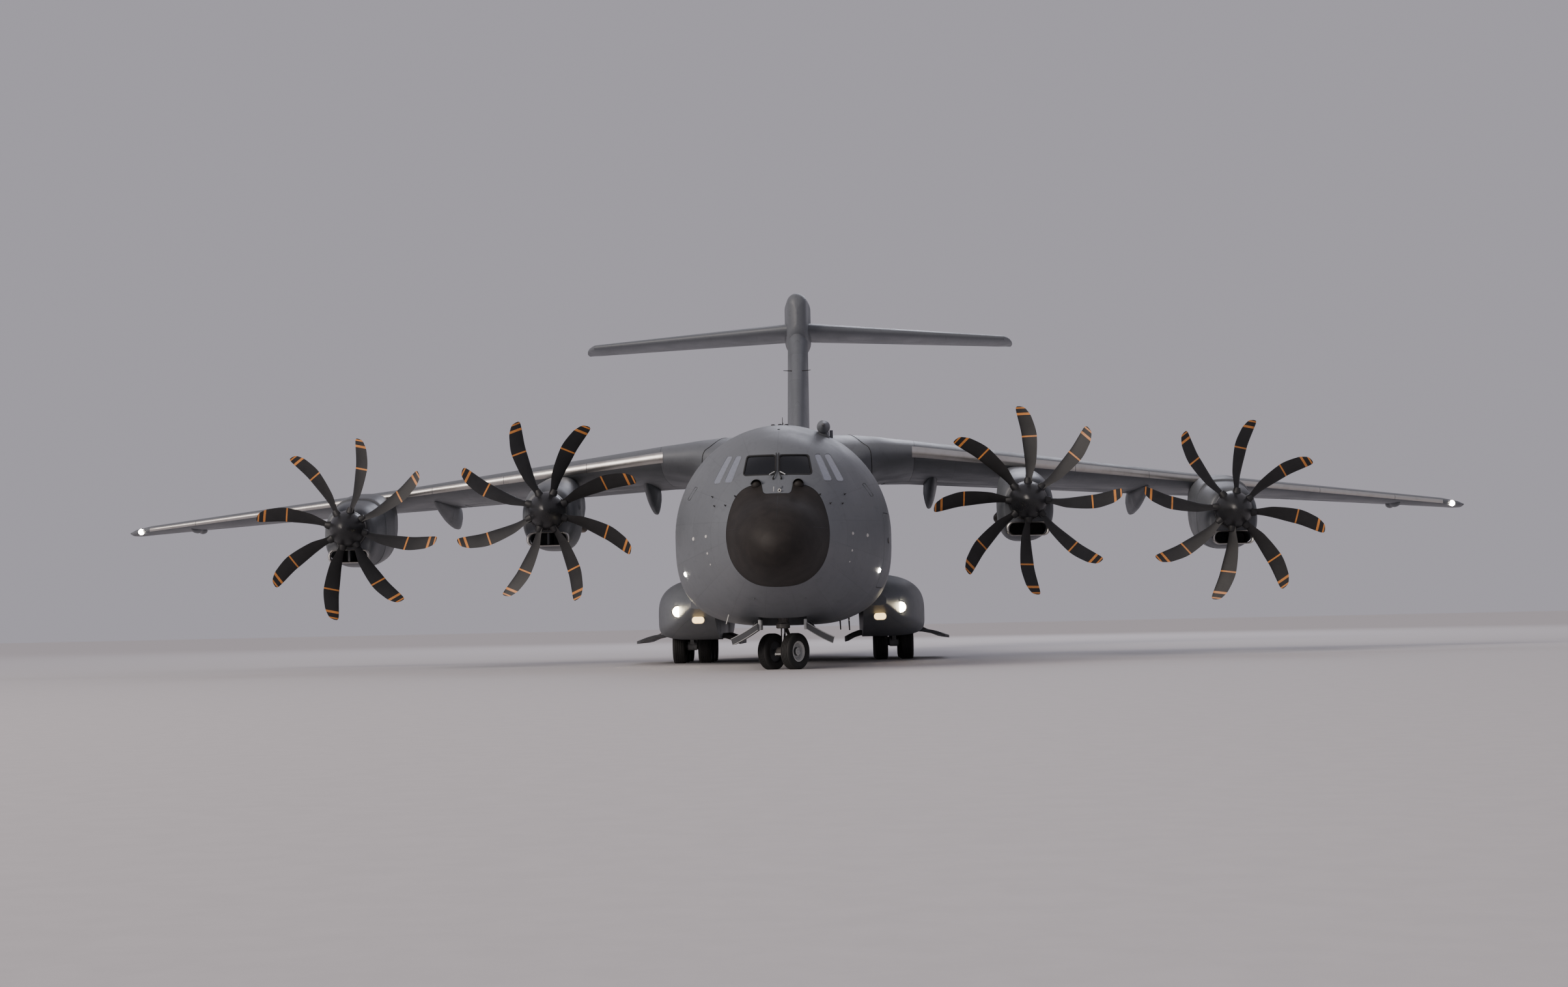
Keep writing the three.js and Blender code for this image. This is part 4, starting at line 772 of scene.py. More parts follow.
def nose_forms():
    """The radome, cut from the hull by its edge, and the hollow nose behind it."""
    front = np.append(0.1 * np.linspace(0.12, 1, 9) ** 2, np.linspace(0.13, RADOME_BACK + 0.1, 38))
    piece("radome_shell", [skin(hull_rings(front), start=NOSE_TIP)], radome_paint, nodes=["radome"],
          cuts=less(tongue(0.006)) + within(radome_space()))
    paths = [([0.02] * 12, np.linspace(4.17, 3.55, 12))]
    paths += [(side * np.linspace(1.19, 0.85, 10), [3.36] * 10) for side in (-1, 1)]
    strips = [tube(on_nose(*path)[0], 0.0045, 6) for path in paths]
    piece("radome_diverter_strips", strips, aerial)

    stations = spread((1.2, 3.4, 30), (3.5, NOSE_END - SPLIT, 34))
    cabin = hull_rings(np.linspace(RADOME_BACK + 0.05, 7.3, 30), 0.15)
    cabin[..., 2] = np.maximum(cabin[..., 2], FLOOR)
    bay = block([-0.6, 4.3, 0.5], [0.6, 6.3, 1.8])
    window_zone = hull_slice(np.linspace(2.32, 4.7, 24), 4.42, 5.52, 0.07)
    cuts = less(radome_space(0.006))
    carve(cuts[0][0], less(tongue(0)))
    cuts += less(skin(cabin), window_zone, bay, doorway(0), [window_prism(o) for o in WINDOW_OUTLINES])
    piece("nose_skin", [skin(hull_rings(stations))], hull_paint, nodes=["nose_fuselage"],
          cuts=cuts)


WINDOWS = [  # front-view corners on the port side: inner top, outer top, outer bottom, inner bottom
    [[0.05, 5.215], [0.745, 5.225], [0.83, 4.71], [0.05, 4.705]],
    [[0.875, 5.255], [1.03, 5.268], [1.325, 4.57], [1.115, 4.56]],
    [[1.11, 5.275], [1.265, 5.298], [1.622, 4.585], [1.43, 4.572]],
]
WINDOW_RADII = [0.065, 0.055, 0.055]
WINDOW_OUTLINES = [filled(rounded(np.array(w) * [side, 1], r), 0.06)
                   for side in (1, -1) for w, r in zip(WINDOWS, WINDOW_RADII)]


def window_prism(outline):
    """A prism through the skin over a window's outline, along the mean of its normals."""
    points, normals = on_nose(outline[:, 0], outline[:, 1])
    way = unit(normals.mean(0))
    return skin(np.stack([points + way * 0.35, points - way * 0.3]))


def patch(outline, outer, inner, rings=5):
    """A closed plate that follows the nose skin: rings from the outline's middle out and back underneath,
    raised by outer and inner."""
    middle = outline.mean(0)
    r = np.linspace(0, 1, rings + 1)[1:, None, None]
    flat = middle + (outline - middle) * r
    top, low = [on_nose(flat[..., 0], flat[..., 1], lift)[0] for lift in (outer, inner)]
    ends = [on_nose(middle[0], middle[1], lift)[0] for lift in (outer, inner)]
    return skin(np.concatenate([top, low[::-1]]), ends[0], ends[1])


def trim(outline, profile):
    """A profile of (outward, raised) pairs carried round an outline on the nose skin."""
    along = np.roll(outline, -1, 0) - np.roll(outline, 1, 0)
    out = unit(np.stack([along[:, 1], -along[:, 0]], -1))
    if (out * (outline - outline.mean(0))).sum() < 0:
        out = -out
    flats = [(outline + out * distance, lift) for distance, lift in profile]
    return loop_skin(np.stack([on_nose(flat[:, 0], flat[:, 1], lift)[0] for flat, lift in flats], 1))


# Profiles round the panes: outward and raised distances
PANE_SEAL = [(-0.012, -0.03), (-0.012, 0.002), (0.002, 0.006), (0.016, 0.005), (0.02, -0.004), (0.01, -0.03)]
SIDE_FRAME = [(-0.006, -0.03), (-0.006, 0.001), (0.002, 0.005), (0.012, 0.004), (0.016, -0.004),
              (0.006, -0.03)]


def cockpit_windows():
    """Front panes in black seals, near-black as painted shade; side panes in painted frames, pale as a
    painted sky reflection.
    """
    panes, seals, painted_reflection_panes, frames = [], [], [], []
    for k, outline in enumerate(WINDOW_OUTLINES):
        grown = outline.mean(0) + (outline - outline.mean(0)) * 1.02
        if k % len(WINDOWS):
            painted_reflection_panes.append(patch(grown, -0.004, -0.03))
            frames.append(trim(outline, SIDE_FRAME))
        else:
            panes.append(patch(grown, -0.016, -0.05))
            seals.append(trim(outline, PANE_SEAL))
    piece("windscreen_panes", panes, shade_painted_windscreen_glass, nodes=["cockpit_glazing"])
    piece("side_window_panes", painted_reflection_panes, reflection_painted_glass)
    piece("window_seals", seals, seal)
    piece("side_window_frames", frames, plain_grey)


# The crew door

DOOR = {"front": 5.55, "back": 6.5, "bottom": 2.0, "top": 3.9, "out": 0.02}
SILL = np.array([[float(half_width(s, DOOR["bottom"])) + DOOR["out"], s, DOOR["bottom"]]
                 for s in (DOOR["front"], DOOR["back"])])


def door_frame():
    """Origin, outward, along and up directions of the crew door's hinge frame, and its length."""
    along = unit(SILL[1] - SILL[0])
    up = np.array([0, 0, 1.0])
    return SILL[0], np.cross(along, up), along, up, np.linalg.norm(SILL[1] - SILL[0])


def doorway(gap, deep=1.0):
    """The space of the crew doorway along its outward direction, drawn in by a gap."""
    origin, out, along, up, length = door_frame()
    outline = rounded(rectangle(gap, gap, length - gap, DOOR["top"] - DOOR["bottom"] - gap), 0.12)
    flat = origin + outline[:, :1] * along + outline[:, 1:] * up
    return skin(np.stack([flat - out * deep, flat + out * deep]))


def crew_door():
    """The door leaf, cut from the fuselage's wall, with its steps and handle."""
    origin, _, along, up, length = door_frame()
    stations = np.linspace(5.2, 6.9, 26)
    shell = wall(hull_rings(stations), hull_rings(stations, 0.15))
    piece("crew_door_leaf", [shell], hull_paint, "crew_door", ["crew_door"],
          cuts=within(doorway(CLEAR)))
    steps = []
    for k in range(6):
        h = 0.22 + k * 0.29
        inner = float(half_width(6.0, DOOR["bottom"] + h)) - 0.2
        a, b = [origin * [0, 1, 1] + along * (d * length) + up * h + [inner, 0, 0] for d in (0.16, 0.84)]
        corner = up * 0.02 + [0.1, 0, 0]
        steps += [rod(a, b, 0.022, 10), flat_bar(a - corner, b - corner, [0.14, 0, 0], 0.022)]
    piece("crew_door_steps", steps, deck_black, "crew_door")
    handle = origin + along * length * 0.5 + up * 1.2
    handle[0] = float(half_width(handle[1], handle[2])) + 0.004
    profile = [(0.02, -0.01), (0.075, 0), (0.075, 0.008), (0.06, 0.012), (0.02, 0.012)]
    bar = rod(handle + [0.016, -0.06, 0], handle + [0.016, 0.06, 0], 0.011, 10)
    dish = lathe(profile, handle, [1, 0, 0.05], 24)
    piece("crew_door_handle", [dish, bar], steel, "crew_door")


# Barrel and hold

BARREL_END = 25.6


def flat_bar(a, b, reach, thick):
    """A flat bar with one side from a to b, which reaches out by a vector."""
    reach, rise = np.array(reach), np.array([0, 0, thick])
    return skin(np.stack([[p, p + reach, p + reach + rise, p + rise] for p in (a, (a + b) / 2, b)]))


def barrel():
    stations = np.linspace(NOSE_END + SPLIT, BARREL_END - SPLIT, 64)
    piece("barrel_skin", [wall(hull_rings(stations), hull_rings(stations, 0.1))], hull_paint,
          nodes=["barrel_crown", "barrel_side_port", "barrel_side_starboard"])
    frames = hull_frames(np.arange(7.6, 25.4, 0.9), 0.04, 0.09, 0.19)
    piece("hold_frames", frames, inside_paint)
    s = np.linspace(NOSE_END + 0.05, BARREL_END - 0.05, 3)
    angles = np.radians([8, 28, 48, 68, 112, 132, 152, 172, 90, -12, 192])
    stringers = [tube(hull(s, np.full(3, angle), 0.125), 0.026, 6) for angle in angles]
    piece("hold_stringers", stringers, inside_paint)


def deck():
    """One cross-section of boards, roller channels and guide rails carried along the hold, with its rollers
    and tie-down cups."""
    half, low, floor_, rail, lip, bed = 2.34, 1.7, 1.93, 1.99, 1.945, 1.9
    lanes = (-1.3, -0.5, 0.5, 1.3)
    rows = [(-half, low), (-half, floor_), (-1.92, floor_), (-1.92, rail), (-1.84, rail), (-1.84, floor_)]
    for x in lanes:
        rows += [(x - 0.09, floor_), (x - 0.09, lip), (x - 0.075, lip), (x - 0.075, bed),
                 (x + 0.075, bed), (x + 0.075, lip), (x + 0.09, lip), (x + 0.09, floor_)]
    rows += [(1.84, floor_), (1.84, rail), (1.92, rail), (1.92, floor_), (half, floor_), (half, low)]
    x, z = np.array(rows).T
    rings = xyz(x, np.linspace(NOSE_END + 0.03, BARREL_END - 0.03, 5)[:, None], z)
    roller = [(0.02, -0.06), (0.03, -0.055), (0.03, 0.055), (0.02, 0.06)]
    rollers = [lathe(roller, [x, s, floor_], [1, 0, 0], 8) for x in lanes for s in np.arange(7.4, 25.4, 0.42)]
    cup = [(0.04, 0), (0.085, 0), (0.085, 0.012), (0.06, 0.014), (0.045, 0.004)]
    cups = [lathe(cup, [x, s, 1.928], [0, 0, 1], 12)
            for x in (-2.1, -0.9, 0, 0.9, 2.1) for s in np.arange(7.8, 25.4, 1.0)]
    piece("cargo_deck_boards", [skin(rings)], deck_black, nodes=["cargo_floor"])
    piece("cargo_rollers", rollers, steel)
    piece("tie_down_cups", cups, steel)


# Tail with its ramp and upper door

RAMP = {"half": 1.9, "front": 25.75, "middle": 28.0, "back": 30.2, "depth": 0.42}
UPPER_DOOR = {"half": 1.68, "middle": 32.0, "back": 33.6, "depth": 0.3}
LEAF_HINGE = 0.07
LEAF_LEAN = 0.55


def tail_form():
    """The hollow tail: inner rings run forwards and outer ones back, less the rear opening."""
    front = BARREL_END + SPLIT
    inner, outer = np.linspace(40.6, front, 50), np.linspace(front, 41.9, 76)
    rings = np.concatenate([hull_rings(inner, 0.12), hull_rings(outer)])
    wide, narrow = RAMP["half"] + CLEAR, UPPER_DOOR["half"] + CLEAR
    holes = [block([-wide, RAMP["front"] - CLEAR, -0.5], [wide, RAMP["back"] + CLEAR, 3]),
             block([-narrow, RAMP["back"] - 0.1, -0.5], [narrow, UPPER_DOOR["back"] + CLEAR, 4.4])]
    piece("tail_skin", [skin(rings, [0, 40.62, 5.45], [0, 41.93, 5.45])], hull_paint, nodes=["tail_fuselage"],
          cuts=less(*holes))
    clear = [block([-wide - 0.02, 25, -0.5], [wide + 0.02, 34, 2.9]),
             block([-narrow - 0.02, 29, -0.5], [narrow + 0.02, 34, 4.45])]
    frames = hull_frames(26.6 + np.arange(10), 0.03, 0.11, 0.21)
    piece("tail_frames", frames, inside_paint, cuts=less(*clear))


def leaf_outlines():
    """Side outlines of the ramp and the upper door; the edge between them leans forwards."""
    skin_at = lambda s, h: [s, hull_row(s)[1] + h]
    edge = lambda gap, h: [RAMP["back"] + gap - h * LEAF_LEAN, skin_at(RAMP["back"], h)[1]]
    front, back, deep, thin = RAMP["front"], UPPER_DOOR["back"], RAMP["depth"], UPPER_DOOR["depth"]
    ramp = [skin_at(front + LEAF_HINGE, -1), skin_at(front + LEAF_HINGE, LEAF_HINGE / 2),
            skin_at(front, LEAF_HINGE), skin_at(front, deep), skin_at(RAMP["middle"], deep),
            edge(-CLEAR, deep), edge(-CLEAR, -1)]
    door = [edge(CLEAR, -1), edge(CLEAR, thin), skin_at(UPPER_DOOR["middle"], thin),
            skin_at(back - thin, thin), skin_at(back, LEAF_HINGE), skin_at(back, -1)]
    return ramp, door


def ramp_and_door():
    """The ramp and upper door, cut from the hull, and what is on their inner sides."""
    stations = np.linspace(25.62, 34.2, 60)
    halves = (RAMP["half"], UPPER_DOOR["half"])
    for name, outline, half in zip(("cargo_ramp", "cargo_door"), leaf_outlines(), halves):
        piece(f"{name}_leaf", [skin(hull_rings(stations))], hull_paint, name, [name],
              cuts=within(prism(outline, -half, half, side_place)))

    def inner_face(s, places, depth):
        return np.interp(s, places, hull_row(places)[1] + depth)

    treads = []
    for s in np.arange(26.1, 29.8, 0.3):
        z = inner_face(s, [RAMP["front"], RAMP["middle"], RAMP["back"]], RAMP["depth"])
        treads.append(block([-1.75, s, z - 0.004], [1.75, s + 0.2, z + 0.012], 0.004))
    piece("ramp_grip_strips", treads, deck_black, "cargo_ramp")
    s = np.linspace(30.5, 33.1, 8)
    z = inner_face(s, [RAMP["back"], UPPER_DOOR["middle"], UPPER_DOOR["back"]], UPPER_DOOR["depth"])
    ribs = [tube(xyz(x, s, z), 0.05, 6) for x in (-1.2, -0.4, 0.4, 1.2)]
    piece("upper_door_ribs", ribs, inside_paint, "cargo_door")


# Wing

WING = np.array([
    # x, leading and trailing edge stations, their heights, thickness, camber
    [0.0, 12.3, 24.7, 5.88, 5.68, 1.76, 0.07], [1.2, 12.5, 23.8, 5.84, 5.66, 1.64, 0.14],
    [2.0, 12.85, 22.2, 5.88, 5.63, 1.48, 0.18], [2.8, 13.5, 21.15, 6.08, 5.6, 1.12, 0.11],
    [3.73, 14.1, 20.95, 6.1, 5.58, 0.9, 0.12], [12.0, 16.7, 20.6, 5.31, 5.03, 0.47, 0.08],
    [15.95, 17.94, 21.22, 4.97, 4.84, 0.36, 0.05], [20.6, 19.4, 21.95, 4.55, 4.555, 0.25, 0.03],
    [21.2, 19.95, 21.95, 4.5, 4.53, 0.2, 0.01], [21.4, 20.3, 21.9, 4.49, 4.52, 0.13, 0.0],
])
ROOT, TIP = 3.73, 21.44  # span places where the wing turns straight and where it ends
FLAP_LINE = np.array([  # the rows that the frame's flap hinges follow
    [2.2, 13.45, 21.0, 6.12, 5.65, 1.03, 0.12], [3.73, 14.1, 20.95, 6.11, 5.58, 0.96, 0.12],
    [12.0, 16.7, 20.6, 5.32, 5.03, 0.47, 0.07], [20.6, 19.4, 21.95, 4.62, 4.53, 0.2, 0.03],
])


def section_half(u):
    return 5 * (0.2969 * np.sqrt(u) - 0.126 * u - 0.3516 * u**2 + 0.2843 * u**3 - 0.1036 * u**4)


def wing_row(x):
    """Section values at span places: smooth in the root fairing, straight outboard of it."""
    x = np.abs(np.asarray(x, float))
    return np.where((x < ROOT)[..., None], blend(WING[:5], x), straight_row(WING[4:], x))


def section(row, u, side):
    """Station and height on a section: the chord line plus camber plus or minus the half thickness, whose
    blunt part fades in from the leading edge."""
    lead, trail, z_lead, z_trail, thick, camber = np.moveaxis(row, -1, 0)
    edge = 0.012 * np.minimum(1, np.sqrt(u / 0.01))
    z = z_lead + (z_trail - z_lead) * u + camber * 4 * u * (1 - u)
    return lead + (trail - lead) * u, z + side * (thick * section_half(u) + edge)


def foil_rings(row, x, steps):
    """Rings (len(x), 2 steps - 1, 3): the upper surface from back to front, then the lower one back."""
    u = (1 - np.cos(np.linspace(0, math.pi, steps))) / 2
    row, x = row[:, None], x[:, None]
    return np.concatenate([xyz(x, *section(row, u[::-1], 1)), xyz(x, *section(row, u[1:], -1))], 1)


def even(rings):
    """Rings with an even count: one more point, in the middle of the closing side."""
    return np.concatenate([rings, (rings[:, -1:] + rings[:, :1]) / 2], 1)


FLAPS = [  # name, inner and outer x, pods' x, depth of the hinge below the wing's middle
    ("flap_inner", 3.0, 10.4, [4.4, 6.9], 1.0),
    ("flap_outer", 10.75, 15.9, [10.95], 0.82),
]
FLAP_CHORD, AILERON_CHORD = 0.72, 0.74
AILERON = (16.1, 20.5)
END_GAP, PIN_GAP = 0.04, 0.03


def core(row, x, u):
    """The middle of a section at a part of its chord, and its half thickness there."""
    (s, high), (_, low) = section(row, u, 1), section(row, u, -1)
    return np.array([x, s, (high + low) / 2]), (high - low) / 2


def flap_frame(inner, outer):
    """A flap's front line on the frame's own wing: start, span direction, aft, up and length."""
    start, end = [core(straight_row(FLAP_LINE, x), x, FLAP_CHORD)[0] for x in (inner, outer)]
    out = unit(end - start)
    aft = unit(np.cross([0, 0, 1.0], out))
    return start, out, aft, np.cross(out, aft), np.linalg.norm(end - start)


def flap_space(inner, outer):
    start, out, aft, up, length = flap_frame(inner, outer)
    corners = rectangle(-END_GAP, -CLEAR, length + END_GAP, 4)
    place = lambda a, b, d: (start + np.outer(a, out) + np.outer(b, aft) + np.outer(d, up)).T
    return prism(corners, -3, 3, place)


def flap_body(inner, outer):
    """Rings square to the hinge line, from the trailing edge over the upper skin to a rounded front face and
    back under; the trailing edge of each ring is found by halving."""
    start, out, aft, _, length = flap_frame(inner, outer)
    t = np.linspace(0, length, 26)
    place = lambda d: start[:2] + np.outer(t, out[:2]) + np.outer(d, aft[:2])
    low, high = np.zeros(len(t)), np.full(len(t), 4.0)
    for _ in range(30):
        middle = (low + high) / 2
        x, s = place(middle).T
        inside = s < wing_row(x)[:, 1]
        low, high = np.where(inside, middle, low), np.where(inside, high, middle)
    nose = np.array([0, 0.02, 0.06, 0.12, 0.2])
    share = np.concatenate([nose, 0.2 + 0.8 * np.linspace(0, 1, 14)[1:]])
    drawn = np.concatenate([0.45 * (1 - np.sqrt(1 - (1 - nose / 0.2) ** 2)), np.zeros(13)])
    upper, lower = [], []
    for f, d in zip(share, drawn):
        x, s = place(low * f).T
        row = wing_row(x)
        u = np.clip((s - row[:, 0]) / (row[:, 1] - row[:, 0]), 0, 1)
        over, under = [section(row, u, side)[1] for side in (1, -1)]
        for rows, z in ((upper, over), (lower, under)):
            rows.append(xyz(x, s, z + ((over + under) / 2 - z) * d))
    return skin(np.stack(upper[::-1] + lower, 1), "zip", "zip")


POD = [[-2.3, 0.02, -0.12, -0.16], [-2.0, 0.09, -0.05, -0.32], [-1.2, 0.15, 0, -0.56], [0.0, 0.185, 0, -0.84],
       [0.9, 0.19, 0, -0.96], [1.5, 0.18, -0.02, -1], [1.85, 0.15, -0.08, -0.99], [2.1, 0.1, -0.2, -0.92],
       [2.25, 0.05, -0.36, -0.82], [2.3, 0.015, -0.5, -0.7]]  # distance aft, half width, top, bottom


def pod(inner, outer, x, depth, front, back):
    """A streamlined pod round a flap hinge, between two distances from the flap's front line: rounded
    sections whose planes lie along that line."""
    start, out, _, _, length = flap_frame(inner, outer)
    middle = start + out * length * (x - inner) / (outer - inner)
    d = np.linspace(front, back, 22)
    half, top, bottom = columns(POD, d)
    c, n = squared(circle(24), 0.75)
    wide = half * c * np.where(n < 0, 1 + 0.35 * n, 1)
    z = middle[2] + depth * ((top + bottom) / 2 + n * (top - bottom) / 2)
    return skin(xyz(x + wide, middle[1] + d[:, None] + wide * out[1] / out[0], z))


def wing_parts():
    """The wing's centre and both wings, cut away for the surfaces that hinge on them."""
    gap = flap_space(*FLAPS[0][1:3])
    x = np.linspace(-ROOT, ROOT, 61)
    piece("wing_root_fairing", [skin(even(foil_rings(wing_row(x), x, 34)), "zip", "zip")], smooth_wing,
          nodes=["wing_centre"], cuts=less(gap, *across([gap])))

    x = np.append(spread((ROOT + 0.006, 12, 14), (12.6, 20.6, 14)), [20.9, 21.2, 21.3, 21.4])
    rings = foil_rings(wing_row(x), x, 34)
    tip = rings[-1:].copy()
    tip[..., 0] = TIP
    tip[..., 2] = tip[..., 2].mean() + (tip[..., 2] - tip[..., 2].mean()) * 0.5
    rings = even(np.concatenate([rings, tip]))
    ends = [core(wing_row(x), x, AILERON_CHORD) for x in AILERON]
    spaces = [flap_space(*flap[1:3]) for flap in FLAPS] + hinge_cuts(ends, back=23, low=0, high=9)
    both("wing_box", [skin(rings, "zip", "zip")], wing_paint, ["wing"], cuts=spaces)
    fronts = []
    for _, inner, outer, pods, depth in FLAPS:
        fronts += [pod(inner, outer, x, depth, POD[0][0], -CLEAR) for x in pods]
    both("flap_pod_fronts", fronts, smooth_wing)
    for name, inner, outer, pods, depth in FLAPS:
        both(f"{name}_panel", [flap_body(inner, outer)], wing_paint, [name], name)
        tails = [pod(inner, outer, x, depth, 0, POD[-1][0]) for x in pods]
        both(f"{name}_pod_tails", tails, smooth_wing, body=name)
    aileron = hinged_foil(ends, AILERON, wing_row)
    both("aileron_panel", [aileron], wing_paint, ["aileron"], "aileron")
    leading_edges()
    root_seams()
    small_fairings()


def hinge_cuts(ends, back, low, high, follow=1):
    """The space behind a hinge line, widened by the pins' gap, and the round cove along it. With follow 1
    the space's front edge runs on along the line over the gap."""
    (a, ra), (b, rb) = ends
    along = (b[1] - a[1]) / (b[0] - a[0]) * PIN_GAP * follow
    x0, x1 = a[0] - PIN_GAP, b[0] + PIN_GAP
    space = prism([[x0, a[1] - along], [x1, b[1] + along], [x1, back], [x0, back]], low, high, plan_place)
    step = unit(b - a) * PIN_GAP
    return [space, rod(a - step, b + step, ra + CLEAR, 40, end_radius=rb + CLEAR)]


def round_nosed(ends, surface):
    """Control surface rings: the upper skin from the trailing edge to the hinge line, half a circle round
    the hinge line, and the lower skin back. surface(t, f, side) gives points; ends give centres and radii."""
    (a, ra), (b, rb) = ends
    t = np.linspace(0, 1, 24)[:, None]
    f = np.linspace(1, 0, 16)
    upper, lower = surface(t, f, 1), surface(t, f[::-1], -1)
    middle = a + (b - a) * t
    top = unit(upper[:, -1] - middle)
    front = np.cross(unit(b - a), top)
    if front[0, 1] > 0:
        front = -front
    angle = np.linspace(0, math.pi, 13)[1:-1, None]
    spokes = np.cos(angle) * top[:, None] + np.sin(angle) * front[:, None]
    arc = middle[:, None] + (ra + (rb - ra) * t)[..., None] * spokes
    return skin(np.concatenate([upper, arc, lower], 1))


def hinged_foil(ends, span, row_at):
    """A control surface that follows the sections behind its hinge line."""
    (a, _), (b, _) = ends

    def surface(t, f, side):
        x = span[0] + (span[1] - span[0]) * t
        row = row_at(x)
        lead, trail = row[..., 0], row[..., 1]
        hinge = a[1] + (b[1] - a[1]) * t
        u = np.clip((hinge + (trail - hinge) * f - lead) / (trail - lead), 0, 1)
        return xyz(x, *section(row, u, side))

    return round_nosed(ends, surface)


def leading_edges():
    """Bare metal bands over the leading edge: a thin shell that follows the section from the upper to the
    lower surface, in seven lengths with joints between them."""
    joints = [3.66, 6.0, 8.6, 10.9, 13.6, 16.4, 18.9, 20.78]
    above, below = [np.linspace(0, math.sqrt(reach), 12) ** 2 for reach in (0.011, 0.013)]
    u = np.concatenate([above[::-1], below[1:]])
    side = np.repeat([1, -1], [12, 11])
    nose = np.exp(-u / 0.006)
    bands = []
    for x0, x1 in zip(joints[:-1], joints[1:]):
        x = np.linspace(x0, x1 - 0.014, 8)[:, None]
        s, z = section(wing_row(x), u, side)
        faces = [xyz(x, s - lift * nose, z + side * lift * (1 - 0.6 * nose)) for lift in (0.007, -0.01)]
        bands.append(slab(*faces))
    both("leading_edge_band", bands, edge_metal, sharp=50)


def root_seams():
    """The dark joint between the wing's glove and the centre fairing, along the section."""
    rows = [[-0.7, 1.5], [-0.55, 1.72], [-0.32, 2.02], [-0.19, 2.22], [-0.105, 2.37], [0.0, 2.44],
            [0.14, 2.46], [0.32, 2.47], [0.55, 2.45]]  # signed root of the chord's part, x
    root = np.linspace(-0.7, 0.55, 90)
    x = blend(rows, root)[:, 0]
    seam = tube(xyz(x, *section(wing_row(x), root**2, np.where(root < 0, 1, -1))), 0.012, 8)
    both("wing_root_joint", [seam], seal)


def small_fairings():
    """The aileron's actuator fairing, discharge wicks and the tip lamp."""
    rows = [[-1.3, 0.02, 0.02], [-1.0, 0.1, 0.1], [-0.65, 0.12, 0.12], [-0.38, 0.09, 0.09],
            [-0.1, 0.115, 0.12], [0.15, 0.09, 0.09], [0.36, 0.02, 0.02]]
    (x, s, z), half = core(wing_row(19.15), 19.15, 0.6)
    d = np.linspace(-1.3, 0.36, 26)
    fairing = oval_body(x, s + d[:, None], z - half - 0.02, *columns(rows, d), 16)
    both("aileron_fairing", [fairing], wing_paint)
    wicks = []
    for x in (12.2, 13.6, 15.0, 20.9):
        _, s, _, z, _, _ = wing_row(x)
        wicks.append(rod([x, s - 0.03, z], [x, s + 0.16, z + 0.004], 0.006, 6))
    both("wing_discharge_wicks", wicks, aerial)
    row = wing_row(20.87)
    lens = lathe([(0.004, -0.07), (0.05, -0.06), (0.085, -0.02), (0.095, 0.03), (0.065, 0.09), (0.004, 0.12)],
                 [20.87, row[0] + 0.02, row[2] - 0.02], [0.3, -1, 0], 24)
    both("tip_lamps", [lens], white_glow)


# Engines and propellers

# x, z, the propeller's station, share of the nacelle's full length, narrowing of its tail
ENGINES = {"inner": (6.83, 4.48, 12.0, 1.0, 0.42), "outer": (12.97, 4.18, 13.9, 0.81, 0.0)}
NACELLE = [  # station behind the propeller, half width, top, bottom
    [0.27, 0.64, 0.54, -0.94], [0.3, 0.68, 0.59, -0.98], [0.36, 0.715, 0.64, -1.0], [0.55, 0.76, 0.72, -1.04],
    [1.0, 0.79, 0.82, -1.07], [2.0, 0.84, 1.0, -1.08], [3.5, 0.84, 1.2, -0.95], [5.0, 0.7, 1.15, -0.5],
    [6.3, 0.36, 0.95, 0.1], [6.8, 0.14, 0.8, 0.45],
]
INTAKE = rounded(rectangle(-0.56, -0.96, 0.56, -0.6), 0.17, 8)


# Outward and aft distances round the intake's lip
LIP = np.array([
    [-0.02, 0.02], [-0.045, 0.0], [-0.05, -0.03], [-0.03, -0.07], [0.0, -0.085], [0.035, -0.07],
    [0.05, -0.03], [0.045, 0.0], [0.03, 0.02],
])


